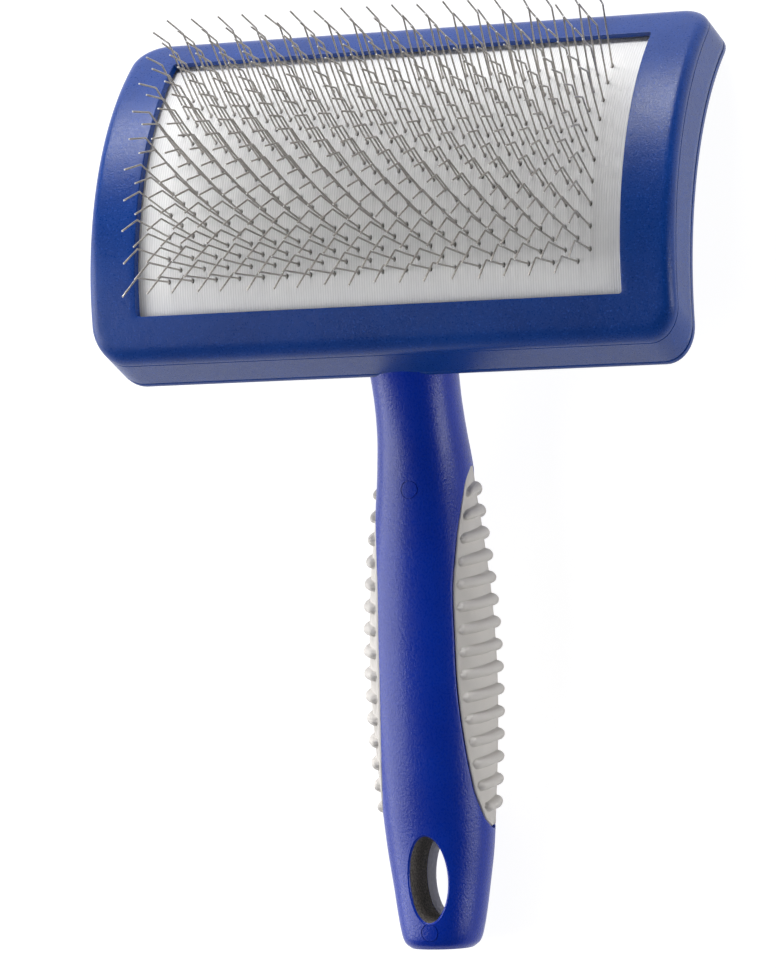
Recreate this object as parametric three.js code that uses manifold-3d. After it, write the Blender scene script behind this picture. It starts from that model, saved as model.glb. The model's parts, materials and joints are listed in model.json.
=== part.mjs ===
import * as THREE from "three";
import { mergeVertices } from "three/addons/utils/BufferGeometryUtils.js";
import Module from "manifold-3d";

// A pet slicker brush, lying on its back as it is put down: bent pins up, handle running to -Y.
// All sizes are in millimetres. The head is drawn on a cylinder whose axis is the X axis:
// "front" is the pin side (+Z of the head), "top" is the side away from the handle (+Y of the head).

// ---- head
const HEAD_RADIUS = 80;
const HEAD_HALF_WIDTH = 83.2;
const HEAD_HALF_HEIGHT = 47.6;
const HEAD_CORNER_RADIUS = 8.6;
const FRAME_EDGE_RADIUS = 3;
const FRAME_DEPTH = 15;
const FRAME_FLARE = 0.2;
const FRAME_WALL = 2.2;
const FRAME_LIP = 1.6;
const FRAME_FACE_STEP = 4.5;
const FRAME_INNER_CHAMFER = 1.6;
const OPENING_HALF_WIDTH = 69;
const OPENING_HALF_HEIGHT = 37.6;
const OPENING_CORNER_RADIUS = 0.6;
const OPENING_DRAFT = 0.4;
const FIT_GAP = 0.3;
const PLATE_DRAFT = 0.4;
const RIM_DRAFT = 0.3;
const RIM_ROOT_DEPTH = 0.6;
const CROWN_STRIP_END = 0.6;
const GROOVE_END_GAP = 1;
const BACK_PLATE_THICKNESS = 1.8;
const LOCATING_RIM_HEIGHT = 4;
const LOCATING_RIM_THICKNESS = 1.6;

// ---- pad
const PAD_RECESS = 2.5;
const PAD_OVERLAP = 2.75;
const SHEET_THICKNESS = 1.6;
const CUSHION_THICKNESS = 4.6;
const BACKING_THICKNESS = 1.2;

// ---- pins
const ROW_COUNT = 20;
const PINS_PER_ROW = 18;
const FIELD_SIDE_MARGIN = 9;
const FIELD_LOW_MARGIN = 8.9;
const FIELD_HIGH_MARGIN = 10.3;
const PIN_DIAMETER = 0.5;
const PIN_SHANK = 21.6;
const PIN_TIP = 10.8;
const PIN_BEND_DEG = 28.9;
const PIN_SIDE_LEAN_DEG = 6;
const PIN_SPLAY_DEG = 4.4;
const CROWN_STRIP_WIDTH = 1.0;
const CROWN_STRIP_HEIGHT = 0.8;
const SLOT_WIDTH = 1.5;
const CROWN_GROOVE_WIDTH = 2.0;
const CROWN_GROOVE_DEPTH = 1.5;

// ---- handle: straight grip axis, leaning back from the head. It starts this far beyond the head's
// edge and behind it.
const HANDLE_LEAN_DEG = 24.15;
const HANDLE_REACH = 22.13;
const HANDLE_DROP = 41.92;
const SECTION_POWER = 2.2;
const SHELL_WALL = 2.4;
const PARTING_OFFSET = -2.5;
const ROOT_START_S = -90;
const NECK_SEAM_S = -38;
const PAST_HANDLE_S = 130;
const BLOCK_REACH = 50;
const CAVITY_START_S = -34;
const CAVITY_END_S = 90;
const GRIP_START_S = -7.5;
const GRIP_END_S = 89.5;
const GRIP_DEPTH = 2.2;
const GRIP_EDGE_GAP_DEG = 1.9;
const GRIP_PARTING_GAP_DEG = 0.7;
const GRIP_SLANT = 1.9;
const RIB_COUNT = 15;
const RIB_PITCH = 6;
const RIB_HEIGHT = 1.85;
const RIB_HALF_THICKNESS = 1.7;
const HANG_HOLE_S = 104;
const HANG_HOLE_HALF_WIDTH = 5.4;
const HANG_HOLE_HALF_LENGTH = 11.5;
const NECK_SCREW = { station: 0, seat: 4.5, pilot: 8, shankEnd: 7.2 };
const END_SCREW = { station: 118.2, seat: 3, pilot: 4, shankEnd: 3.2 };
const SCREW_BOSS_RADIUS = 3.6;
const SCREW_RECESS_WIDTH = 0.7;
const SCREW_RECESS_LENGTH = 3.2;
const SCREW_SHANK_RADIUS = 1.45;
const SCREW_SIDE_GAP = 0.15;
const SCREW_HEAD_RADIUS = 2.5;
const SCREW_HEAD_HEIGHT = 1.6;
const WITNESS_MARK_RADIUS = 2.5;

// Handle sections: distance along the grip axis, half width, half depth, offset to the front.
const HANDLE_SECTIONS = [
  [-100, 6.1, 12.2, 18.9],
  [-94, 12.2, 14.3, 19.6],
  [-86, 17.3, 16.3, 21],
  [-76, 19.4, 16.3, 20.6],
  [-66, 18.3, 15.3, 19.2],
  [-58, 15.6, 13.7, 16.7],
  [-50, 13.5, 12.1, 12.7],
  [-42, 12.3, 11.4, 9.1],
  [-32, 11.8, 11.1, 5.5],
  [-23, 11.6, 11, 3.2],
  [-14, 12, 11.2, 1.3],
  [-7, 12.7, 11.6, 0.3],
  [0, 13.3, 12.1, 0],
  [12, 14.8, 12.9, 0],
  [24, 16.1, 13.8, 0],
  [36, 16.9, 14.3, 0],
  [48, 17.2, 14.5, 0],
  [60, 17, 14.2, 0],
  [72, 16.4, 13.5, 0],
  [84, 15.6, 12.3, 0],
  [92, 15, 11.4, 0],
  [98, 14.4, 10.9, 0],
  [106, 13.2, 10.4, 0.2],
  [114, 12, 9.9, 0.7],
  [119, 11, 9.4, 1.1],
  [121.5, 10, 8.7, 1.3],
  [122.8, 8.4, 7.3, 1.4],
];

// Angle of the grip's front edge: distance along the axis, degrees from the right side to the front.
const GRIP_EDGE_ANGLES = [
  [-7.5, -4],
  [-4, 12],
  [0, 22],
  [6, 33],
  [12, 41],
  [24, 50],
  [40, 52],
  [51, 51.5],
  [64, 46.5],
  [78, 35.5],
  [84, 24],
  [87, 14],
  [89.5, -4],
];

const BLUE = 0x1a2f9c;
const GREY = 0xc9c4bc;
const WHITE = 0xe6e6e4;
const FOAM = 0xd8d6cf;
const BOARD = 0xb9b4a8;
const STEEL = 0x8d8a85;

const degrees = (value) => (value * Math.PI) / 180;
const inDegrees = (value) => (value * 180) / Math.PI;

const wasm = await Module();
wasm.setup();

// ---------- general helpers

function interpolate(table, s, column) {
  const last = table.length - 1;
  if (s <= table[0][0]) return table[0][column];
  if (s >= table[last][0]) return table[last][column];
  let k = 0;
  while (table[k + 1][0] < s) k += 1;
  const before = table[Math.max(k - 1, 0)];
  const a = table[k];
  const b = table[k + 1];
  const after = table[Math.min(k + 2, last)];
  const span = b[0] - a[0];
  const t = (s - a[0]) / span;
  const slopeA = ((b[column] - before[column]) / (b[0] - before[0])) * span;
  const slopeB = ((after[column] - a[column]) / (after[0] - a[0])) * span;
  const t2 = t * t;
  const t3 = t2 * t;
  const fromA = (2 * t3 - 3 * t2 + 1) * a[column] + (t3 - 2 * t2 + t) * slopeA;
  const fromB = (3 * t2 - 2 * t3) * b[column] + (t3 - t2) * slopeB;
  return fromA + fromB;
}

function linear(table, s, column) {
  const last = table.length - 1;
  if (s <= table[0][0]) return table[0][column];
  if (s >= table[last][0]) return table[last][column];
  let k = 0;
  while (table[k + 1][0] < s) k += 1;
  const t = (s - table[k][0]) / (table[k + 1][0] - table[k][0]);
  return table[k][column] + t * (table[k + 1][column] - table[k][column]);
}

function spread(from, to, steps) {
  const values = [];
  for (let i = 0; i <= steps; i += 1) values.push(from + ((to - from) * i) / steps);
  return values;
}

// Closed three.js geometry, as a solid that can be joined and cut.
function solidFrom(geometry) {
  const plain = new THREE.BufferGeometry();
  plain.setAttribute("position", geometry.getAttribute("position"));
  plain.setIndex(geometry.index);
  const merged = mergeVertices(plain, 1e-4);
  const vertProperties = Float32Array.from(merged.getAttribute("position").array);
  const triVerts = Uint32Array.from(merged.index.array);
  const made = new wasm.Manifold(new wasm.Mesh({ numProp: 3, vertProperties, triVerts }));
  if (made.volume() > 0) return made;
  const turned = triVerts.slice();
  for (let i = 0; i < turned.length; i += 3) {
    turned[i + 1] = triVerts[i + 2];
    turned[i + 2] = triVerts[i + 1];
  }
  return new wasm.Manifold(new wasm.Mesh({ numProp: 3, vertProperties, triVerts: turned }));
}

// Moves every vertex of a plain three.js shape to the place that a rule gives it.
function shaped(geometry, rule) {
  const position = geometry.getAttribute("position");
  for (let i = 0; i < position.count; i += 1) {
    const [x, y, z] = rule(position.getX(i), position.getY(i), position.getZ(i));
    position.setXYZ(i, x, y, z);
  }
  return geometry;
}

function turnShare(angle) {
  return (angle / (2 * Math.PI) + 1) % 1;
}

function middleOf(ring) {
  const sum = ring.reduce((total, point) => total.map((value, axis) => value + point[axis]), [0, 0, 0]);
  return sum.map((value) => value / ring.length);
}

// A cylinder drawn out through a stack of rings, with flat ends.
function throughRings(rings) {
  const sides = rings[0].length;
  const steps = rings.length - 1;
  const cylinder = new THREE.CylinderGeometry(1, 1, 1, sides, steps);
  return solidFrom(shaped(cylinder, (x, y, z) => {
    const ring = rings[Math.round((0.5 - y) * steps)];
    if (Math.hypot(x, z) < 0.5) return middleOf(ring);
    return ring[Math.round(turnShare(Math.atan2(x, z)) * sides) % sides];
  }));
}

// A torus drawn out through loops, the last of which joins the first.
function throughLoops(loops) {
  const along = loops[0].length;
  const around = loops.length;
  const torus = new THREE.TorusGeometry(4, 1, around, along);
  return solidFrom(shaped(torus, (x, y, z) => {
    const i = Math.round(turnShare(Math.atan2(y, x)) * along) % along;
    const k = Math.round(turnShare(Math.atan2(z, Math.hypot(x, y) - 4)) * around) % around;
    return loops[k][i];
  }));
}

// A box bent between two grids of points with the same rows and columns.
function betweenGrids(upper, lower) {
  const rows = upper.length - 1;
  const columns = upper[0].length - 1;
  const box = new THREE.BoxGeometry(1, 1, 1, columns, rows, 1);
  return solidFrom(shaped(box, (x, y, z) => {
    const grid = z > 0 ? upper : lower;
    return grid[Math.round((y + 0.5) * rows)][Math.round((x + 0.5) * columns)];
  }));
}

// ---------- head

// Rounded rectangle, anticlockwise, with matching points whatever its size.
function plateOutline(halfWidth, halfHeight, radius) {
  const outline = [];
  const cornerSteps = 4;
  const sideSteps = 13;
  const innerX = halfWidth - radius;
  const innerY = halfHeight - radius;
  for (let corner = 0; corner < 4; corner += 1) {
    const signX = corner === 0 || corner === 3 ? 1 : -1;
    const signY = corner < 2 ? 1 : -1;
    for (let k = 0; k <= cornerSteps; k += 1) {
      const angle = degrees(corner * 90 + (90 * k) / cornerSteps);
      outline.push([signX * innerX + radius * Math.cos(angle), signY * innerY + radius * Math.sin(angle)]);
    }
    if (corner % 2 === 1) {
      const fromY = signY * innerY;
      for (const t of spread(0, 1, sideSteps).slice(1, -1)) {
        outline.push([signX * halfWidth, fromY + (-signY * innerY - fromY) * t]);
      }
    }
  }
  return outline;
}

// Point over or under the head's front face.
function headPoint(x, y, height) {
  return [x, y, Math.sqrt(HEAD_RADIUS * HEAD_RADIUS - y * y) + height];
}

// Rounded rectangle laid on the head at one height.
function wrappedOutline(halfWidth, halfHeight, radius, height) {
  return plateOutline(halfWidth, halfHeight, radius).map(([x, y]) => headPoint(x, y, height));
}

function outerLoop(inset, height) {
  const radius = Math.max(HEAD_CORNER_RADIUS - inset, 1);
  return wrappedOutline(HEAD_HALF_WIDTH - inset, HEAD_HALF_HEIGHT - inset, radius, height);
}

function openingLoop(grow, height) {
  const radius = OPENING_CORNER_RADIUS;
  return wrappedOutline(OPENING_HALF_WIDTH + grow, OPENING_HALF_HEIGHT + grow, radius, height);
}

function headFrame() {
  const r = FRAME_EDGE_RADIUS;
  const diagonal = r * (1 - Math.SQRT1_2);
  const loops = [
    openingLoop(0, 0),
    openingLoop(FRAME_FACE_STEP, 0),
    outerLoop(r, 0),
    outerLoop(diagonal, -diagonal),
    outerLoop(0, -r),
    outerLoop(-FRAME_FLARE, -FRAME_DEPTH),
    outerLoop(FRAME_WALL - FRAME_FLARE, -FRAME_DEPTH),
    outerLoop(FRAME_WALL, -FRAME_LIP - FRAME_INNER_CHAMFER),
    outerLoop(FRAME_WALL + FRAME_INNER_CHAMFER, -FRAME_LIP),
    openingLoop(FRAME_FACE_STEP, -FRAME_LIP),
    openingLoop(-OPENING_DRAFT, -FRAME_LIP),
  ];
  return throughLoops(loops);
}

// Rows of a plate with rounded corners, each row a line along X.
function plateGrid(halfWidth, halfHeight, radius, height) {
  const rows = [];
  const straight = halfHeight - radius;
  const addRow = (y, width) => {
    rows.push([-1, -0.5, 0.5, 1].map((u) => headPoint(u * width, y, height)));
  };
  for (const t of spread(-90, -18, 4)) {
    const angle = degrees(t);
    addRow(-straight + radius * Math.sin(angle), halfWidth - radius + radius * Math.cos(angle));
  }
  for (const y of spread(-straight, straight, 14)) addRow(y, halfWidth);
  for (const t of spread(18, 90, 4)) {
    const angle = degrees(t);
    addRow(straight + radius * Math.sin(angle), halfWidth - radius + radius * Math.cos(angle));
  }
  return rows;
}

function backPlate() {
  const top = -FRAME_DEPTH - FIT_GAP;
  const halfWidth = HEAD_HALF_WIDTH + FRAME_FLARE;
  const halfHeight = HEAD_HALF_HEIGHT + FRAME_FLARE;
  const radius = HEAD_CORNER_RADIUS + FRAME_FLARE;
  const front = plateGrid(halfWidth, halfHeight, radius, top);
  const rear = plateGrid(
    halfWidth - PLATE_DRAFT,
    halfHeight - PLATE_DRAFT,
    radius - PLATE_DRAFT,
    top - BACK_PLATE_THICKNESS,
  );
  const inset = FRAME_WALL - FRAME_FLARE + FIT_GAP + RIM_DRAFT;
  const rim = throughLoops([
    outerLoop(inset, top - RIM_ROOT_DEPTH),
    outerLoop(inset + RIM_DRAFT, top + LOCATING_RIM_HEIGHT),
    outerLoop(inset + LOCATING_RIM_THICKNESS, top + LOCATING_RIM_HEIGHT),
    outerLoop(inset + LOCATING_RIM_THICKNESS, top - RIM_ROOT_DEPTH),
  ]);
  return betweenGrids(front, rear).add(rim);
}

// The pad is trapped under the opening's lip, and the pins stand in the opening.
const OPENING_ANGLE = Math.asin(OPENING_HALF_HEIGHT / HEAD_RADIUS);
const PAD_HALF_WIDTH = OPENING_HALF_WIDTH + PAD_OVERLAP;
const PAD_HALF_ANGLE = inDegrees(OPENING_ANGLE + PAD_OVERLAP / HEAD_RADIUS);
const LOW_ROW_ANGLE = inDegrees(FIELD_LOW_MARGIN / HEAD_RADIUS - OPENING_ANGLE);
const HIGH_ROW_ANGLE = inDegrees(OPENING_ANGLE - FIELD_HIGH_MARGIN / HEAD_RADIUS);
const PIN_PITCH = (OPENING_HALF_WIDTH - FIELD_SIDE_MARGIN) / (PINS_PER_ROW / 2 - 0.25);

// Curved layer of the pad between two radii.
function padLayer(outerRadius, thickness, halfWidth) {
  const angles = spread(-PAD_HALF_ANGLE, PAD_HALF_ANGLE, 20);
  const grid = (radius) => angles.map((angle) => {
    const y = radius * Math.sin(degrees(angle));
    const z = radius * Math.cos(degrees(angle));
    return [
      [-halfWidth, y, z],
      [halfWidth, y, z],
    ];
  });
  return betweenGrids(grid(outerRadius), grid(outerRadius - thickness));
}

function rowAngle(row) {
  return HIGH_ROW_ANGLE + ((LOW_ROW_ANGLE - HIGH_ROW_ANGLE) * row) / (ROW_COUNT - 1);
}

function rowShift(row) {
  return row % 2 === 0 ? PIN_PITCH / 4 : -PIN_PITCH / 4;
}

// Frame of one pin row: X along the row, Y over the pad to the top, Z out of the pad.
function rowMatrix(row) {
  const angle = degrees(rowAngle(row));
  const along = new THREE.Vector3(0, Math.cos(angle), -Math.sin(angle));
  const outward = new THREE.Vector3(0, Math.sin(angle), Math.cos(angle));
  const matrix = new THREE.Matrix4().makeBasis(new THREE.Vector3(1, 0, 0), along, outward);
  return matrix.setPosition(rowShift(row), 0, 0);
}

// Box standing on the pad's cylinder at one row, between two radii.
function rowBox(row, halfLength, width, lowRadius, highRadius) {
  const box = new THREE.BoxGeometry(2 * halfLength, width, highRadius - lowRadius);
  box.translate(0, 0, (lowRadius + highRadius) / 2);
  return solidFrom(box.applyMatrix4(rowMatrix(row)));
}

const SHEET_RADIUS = HEAD_RADIUS - PAD_RECESS;
const CUSHION_RADIUS = SHEET_RADIUS - SHEET_THICKNESS - FIT_GAP;
const BACKING_RADIUS = CUSHION_RADIUS - CUSHION_THICKNESS - FIT_GAP;
const CROWN_TOP_RADIUS = CUSHION_RADIUS - 0.1;
const PIVOT_RADIUS = CROWN_TOP_RADIUS - CROWN_STRIP_HEIGHT / 2;
const ROW_HALF_LENGTH = ((PINS_PER_ROW - 1) * PIN_PITCH) / 2;
// A three-sided prism with this radius has the section area of the round wire, to about a tenth.
const PRISM_RADIUS = PIN_DIAMETER * 0.64;

function padSheet() {
  let sheet = padLayer(SHEET_RADIUS, SHEET_THICKNESS, PAD_HALF_WIDTH);
  for (let row = 0; row < ROW_COUNT; row += 1) {
    const low = SHEET_RADIUS - SHEET_THICKNESS - 1;
    sheet = sheet.subtract(rowBox(row, ROW_HALF_LENGTH + 1, SLOT_WIDTH, low, SHEET_RADIUS + 1));
  }
  return sheet;
}

function padCushion() {
  let cushion = padLayer(CUSHION_RADIUS, CUSHION_THICKNESS, PAD_HALF_WIDTH);
  for (let row = 0; row < ROW_COUNT; row += 1) {
    const low = CUSHION_RADIUS - CROWN_GROOVE_DEPTH;
    const groove = rowBox(row, ROW_HALF_LENGTH + CROWN_STRIP_END + GROOVE_END_GAP, CROWN_GROOVE_WIDTH, low, CUSHION_RADIUS + 1);
    cushion = cushion.subtract(groove);
  }
  return cushion;
}

function padBacking() {
  return padLayer(BACKING_RADIUS, BACKING_THICKNESS, PAD_HALF_WIDTH);
}

// One bent wire: straight shank out of the pad, then a tip that leans towards the handle.
// The shanks lean a little to one side, and spread towards the ends of the row.
function wire(row, x) {
  const bend = degrees(PIN_BEND_DEG);
  const sideways = Math.tan(degrees(PIN_SIDE_LEAN_DEG + (PIN_SPLAY_DEG * x) / ROW_HALF_LENGTH));
  const knee = SHEET_RADIUS + PIN_SHANK;
  const path = [
    [PIVOT_RADIUS, 0, 0],
    [knee, 0, bend / 2],
    [knee + PIN_TIP * Math.cos(bend), PIN_TIP * Math.sin(bend), bend],
  ];
  const sides = new THREE.CylinderGeometry(PRISM_RADIUS, PRISM_RADIUS, 1, 3, path.length - 1);
  shaped(sides, (u, y, v) => {
    const [lift, lean, turn] = path[Math.round((0.5 - y) * (path.length - 1))];
    const aside = (lift - SHEET_RADIUS) * sideways;
    return [x + aside + u, -lean - v * Math.cos(turn), lift - v * Math.sin(turn)];
  });
  return solidFrom(sides.applyMatrix4(rowMatrix(row)));
}

function pinRow(row) {
  const low = CROWN_TOP_RADIUS - CROWN_STRIP_HEIGHT;
  let comb = rowBox(row, ROW_HALF_LENGTH + CROWN_STRIP_END, CROWN_STRIP_WIDTH, low, CROWN_TOP_RADIUS);
  for (let pin = 0; pin < PINS_PER_ROW; pin += 1) {
    const x = pin * PIN_PITCH - ROW_HALF_LENGTH;
    comb = comb.add(wire(row, x));
  }
  return comb;
}

// ---------- handle, drawn on its own straight axis

const LEAN_COS = Math.cos(degrees(HANDLE_LEAN_DEG));
const LEAN_SIN = Math.sin(degrees(HANDLE_LEAN_DEG));

// Frame of the handle: x across, d towards the front, s along the grip away from the head.
const HANDLE_MATRIX = new THREE.Matrix4()
  .makeBasis(
    new THREE.Vector3(1, 0, 0),
    new THREE.Vector3(0, -LEAN_SIN, LEAN_COS),
    new THREE.Vector3(0, -LEAN_COS, -LEAN_SIN),
  )
  .setPosition(0, -HEAD_HALF_HEIGHT - HANDLE_REACH, headPoint(0, HEAD_HALF_HEIGHT, 0)[2] - HANDLE_DROP);

function handlePoint(x, d, s) {
  return new THREE.Vector3(x, d, s).applyMatrix4(HANDLE_MATRIX).toArray();
}

function handleSolidFrom(geometry) {
  return solidFrom(geometry.applyMatrix4(HANDLE_MATRIX));
}

// Point of the handle's skin. The angle is 0 at the right side and 90 at the front.
function skinPoint(s, angleDeg, inset) {
  const angle = degrees(angleDeg);
  const cos = Math.cos(angle);
  const sin = Math.sin(angle);
  const power = 2 / SECTION_POWER;
  const halfWidth = interpolate(HANDLE_SECTIONS, s, 1) - inset;
  const halfDepth = interpolate(HANDLE_SECTIONS, s, 2) - inset;
  const centre = interpolate(HANDLE_SECTIONS, s, 3);
  const x = halfWidth * Math.sign(cos) * Math.abs(cos) ** power;
  const d = halfDepth * Math.sign(sin) * Math.abs(sin) ** power;
  return handlePoint(x, centre + d, s);
}

const SKIN_STATIONS = [
  -100, -94, -86, -76, -66, -58, -50, -42, -32, -23, -14, -4, 6, 18, 30, 48, 64, 76, 88, 98, 106,
  114, 119, 121.5, 122.8,
];
const SKIN_SIDES = 20;
const CAVITY_SIDES = 12;

function handleSolid() {
  const angles = spread(0, 360, SKIN_SIDES).slice(0, -1);
  return throughRings(SKIN_STATIONS.map((s) => angles.map((angle) => skinPoint(s, angle, 0))));
}

function handleCavity() {
  const stations = [CAVITY_START_S, -20, -6, 8, 24, 48, 70, CAVITY_END_S];
  const angles = spread(15, 375, CAVITY_SIDES).slice(0, -1);
  return throughRings(stations.map((s) => angles.map((angle) => {
    const towardsSide = Math.abs(Math.cos(degrees(angle)));
    const inset = SHELL_WALL + GRIP_DEPTH * Math.min(1, towardsSide * 1.5);
    return skinPoint(s, angle, inset);
  })));
}

// Everything between two offsets from the grip axis, from station to station.
function partingBlock(lowOffset, highOffset, fromS, toS) {
  const block = new THREE.BoxGeometry(2 * BLOCK_REACH, highOffset - lowOffset, toS - fromS);
  block.translate(0, (lowOffset + highOffset) / 2, (fromS + toS) / 2);
  return handleSolidFrom(block);
}

function roundPrism(station, radius, lowOffset, highOffset, sides) {
  const prism = new THREE.CylinderGeometry(radius, radius, highOffset - lowOffset, sides);
  prism.translate(0, (lowOffset + highOffset) / 2, station);
  return handleSolidFrom(prism);
}

function partingAngle(s) {
  const halfDepth = interpolate(HANDLE_SECTIONS, s, 2);
  return -inDegrees(Math.asin((-PARTING_OFFSET / halfDepth) ** (SECTION_POWER / 2)));
}

// Signed share of the grip from the parting line (0) to its front edge (1) or rear edge (-1).
function gripAngle(s, share) {
  const parting = partingAngle(s);
  const edge = Math.max(linear(GRIP_EDGE_ANGLES, s, 1), parting + 1.5);
  return parting + (edge - parting) * share;
}

// The same for one grip piece, which stops short of the parting line and of the pocket's edge.
function pieceAngle(s, share, face) {
  const parting = partingAngle(s);
  const edge = Math.max(linear(GRIP_EDGE_ANGLES, s, 1), parting + 1.5);
  const reach = edge - parting - GRIP_PARTING_GAP_DEG - GRIP_EDGE_GAP_DEG;
  return parting + face * (GRIP_PARTING_GAP_DEG + reach * share);
}

function gripStation(s, share) {
  return s + GRIP_SLANT * Math.abs(share);
}

function mirrored(point, side) {
  return [side * point[0], point[1], point[2]];
}

// Stations that follow the ribs: a valley, a crest and a valley for each rib.
function gripStations(first, last) {
  const stations = [first, -4];
  for (let rib = 0; rib < RIB_COUNT; rib += 1) {
    const middle = rib * RIB_PITCH;
    stations.push(middle - RIB_HALF_THICKNESS);
    stations.push(middle);
    stations.push(middle + RIB_HALF_THICKNESS);
  }
  stations.push(last);
  return stations;
}

function gripPocket(side) {
  const middle = [-4, -2, 0, 6, 12, 18, 24, 32, 40, 51, 64, 71, 78, 81, 84, 87];
  const stations = [GRIP_START_S, -6, ...middle, 88.2, GRIP_END_S];
  const shares = [-1, -0.85, -0.45, 0, 0.45, 0.85, 1];
  const grid = (inset) => stations.map((s) => shares.map((share) => {
    const station = gripStation(s, share);
    return mirrored(skinPoint(station, gripAngle(s, share), inset), side);
  }));
  return betweenGrids(grid(-5), grid(GRIP_DEPTH));
}

// Height of the rubber above the smooth skin: full on a rib's crest, nothing in the valleys.
function ribLift(s, share) {
  const alongRibs = s >= -RIB_HALF_THICKNESS && s <= RIB_PITCH * (RIB_COUNT - 1) + RIB_HALF_THICKNESS;
  const fromCrest = Math.abs(s - Math.round(s / RIB_PITCH) * RIB_PITCH);
  return alongRibs && fromCrest < 0.1 && share < 0.9 ? RIB_HEIGHT : 0;
}

// Half of one grip. The front piece has face +1 and the rear piece has face -1.
function gripPiece(side, face) {
  const stations = gripStations(GRIP_START_S + 1.4, GRIP_END_S - 1.4);
  const shares = [0, 0.45, 0.85, 1];
  const point = (s, share, inset) => {
    const station = gripStation(s, share);
    return mirrored(skinPoint(station, pieceAngle(s, share, face), inset), side);
  };
  const outer = stations.map((s) => shares.map((share) => point(s, share, 0.1 - ribLift(s, share))));
  const inner = stations.map((s) => shares.map((share) => point(s, share, GRIP_DEPTH - FIT_GAP)));
  return betweenGrids(outer, inner);
}

function hangHole() {
  const oval = new THREE.Shape();
  oval.absellipse(0, 0, HANG_HOLE_HALF_WIDTH, HANG_HOLE_HALF_LENGTH, 0, 2 * Math.PI, false, 0);
  const prism = new THREE.ExtrudeGeometry(oval, { depth: 60, bevelEnabled: false, curveSegments: 20 });
  prism.rotateX(Math.PI / 2);
  prism.translate(0, 30, HANG_HOLE_S);
  return handleSolidFrom(prism);
}

function bothPockets() {
  return gripPocket(1).add(gripPocket(-1));
}

// Ring-shaped ejector mark on the front, shallow enough to leave the wall whole.
function witnessMark(station, frontOffset) {
  const outer = roundPrism(station, WITNESS_MARK_RADIUS, frontOffset - 0.25, frontOffset + 4, 16);
  const inner = roundPrism(station, WITNESS_MARK_RADIUS - 0.35, frontOffset - 2, frontOffset + 6, 16);
  return outer.subtract(inner);
}

function frontSurfaceOffset(s) {
  return interpolate(HANDLE_SECTIONS, s, 2) + interpolate(HANDLE_SECTIONS, s, 3);
}

function handleFront(solid, cavity, pockets, hole) {
  const low = PARTING_OFFSET + FIT_GAP / 2;
  const behindPlate = -FRAME_DEPTH - FIT_GAP - BACK_PLATE_THICKNESS - FIT_GAP;
  let shell = solid.intersect(partingBlock(low, BLOCK_REACH, NECK_SEAM_S + FIT_GAP, PAST_HANDLE_S));
  shell = shell.subtract(cavity).subtract(inFrontOf(behindPlate));
  shell = shell.add(screwBoss(NECK_SCREW.station, low, frontSurfaceOffset(NECK_SCREW.station) - 1));
  shell = shell.subtract(pockets).subtract(hole);
  for (const { station, pilot } of [NECK_SCREW, END_SCREW]) {
    const bore = SCREW_SHANK_RADIUS + SCREW_SIDE_GAP;
    shell = shell.subtract(roundPrism(station, bore, -6, PARTING_OFFSET + pilot, 12));
    shell = shell.subtract(witnessMark(station, frontSurfaceOffset(station)));
  }
  return shell;
}

function screwBoss(station, lowOffset, highOffset) {
  return roundPrism(station, SCREW_BOSS_RADIUS, lowOffset, highOffset, 16);
}

function rearSurfaceOffset(s) {
  return interpolate(HANDLE_SECTIONS, s, 3) - interpolate(HANDLE_SECTIONS, s, 2);
}

// Height at which a screw's head sits, sunk below the rear surface.
function screwSeatOffset({ station, seat }) {
  return rearSurfaceOffset(station) + seat;
}

function bodyRear(solid, cavity, pockets, hole, plate) {
  const high = PARTING_OFFSET - FIT_GAP / 2;
  const root = solid.intersect(partingBlock(-BLOCK_REACH, BLOCK_REACH, ROOT_START_S, NECK_SEAM_S));
  let rear = solid.intersect(partingBlock(-BLOCK_REACH, high, NECK_SEAM_S - 1, PAST_HANDLE_S));
  rear = rear.subtract(cavity);
  rear = rear.add(screwBoss(NECK_SCREW.station, rearSurfaceOffset(NECK_SCREW.station) + 1, high));
  rear = rear.subtract(pockets).subtract(hole);
  for (const place of [NECK_SCREW, END_SCREW]) {
    const seat = screwSeatOffset(place);
    const bore = SCREW_SHANK_RADIUS + SCREW_SIDE_GAP;
    rear = rear.subtract(roundPrism(place.station, bore, -BLOCK_REACH, BLOCK_REACH, 12));
    rear = rear.subtract(roundPrism(place.station, SCREW_HEAD_RADIUS + FIT_GAP, -BLOCK_REACH, seat, 16));
  }
  // The neck root stops inside the plate.
  const plateMiddle = -FRAME_DEPTH - FIT_GAP - BACK_PLATE_THICKNESS / 2;
  return root.subtract(inFrontOf(plateMiddle)).add(rear).add(plate);
}

// Everything in front of one depth of the head.
function inFrontOf(low) {
  const reach = HEAD_HALF_WIDTH + 5;
  const rows = spread(-HEAD_HALF_HEIGHT - 2, HEAD_HALF_HEIGHT + 2, 16);
  const grid = (height) => rows.map((y) => [headPoint(-reach, y, height), headPoint(reach, y, height)]);
  return betweenGrids(grid(40), grid(low));
}

function screw(place) {
  const seat = screwSeatOffset(place) - 0.1;
  const headEnd = seat - SCREW_HEAD_HEIGHT;
  const head = roundPrism(place.station, SCREW_HEAD_RADIUS, headEnd, seat, 16);
  const shankEnd = PARTING_OFFSET + place.shankEnd;
  const shank = roundPrism(place.station, SCREW_SHANK_RADIUS, seat - 0.4, shankEnd, 8);
  const bar = (width, length) => {
    const recess = new THREE.BoxGeometry(width, SCREW_HEAD_HEIGHT, length);
    recess.translate(0, headEnd, place.station);
    return handleSolidFrom(recess);
  };
  const across = bar(SCREW_RECESS_LENGTH, SCREW_RECESS_WIDTH);
  return head.add(shank).subtract(bar(SCREW_RECESS_WIDTH, SCREW_RECESS_LENGTH)).subtract(across);
}

// ---------- assembly

const bodies = [];

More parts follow.
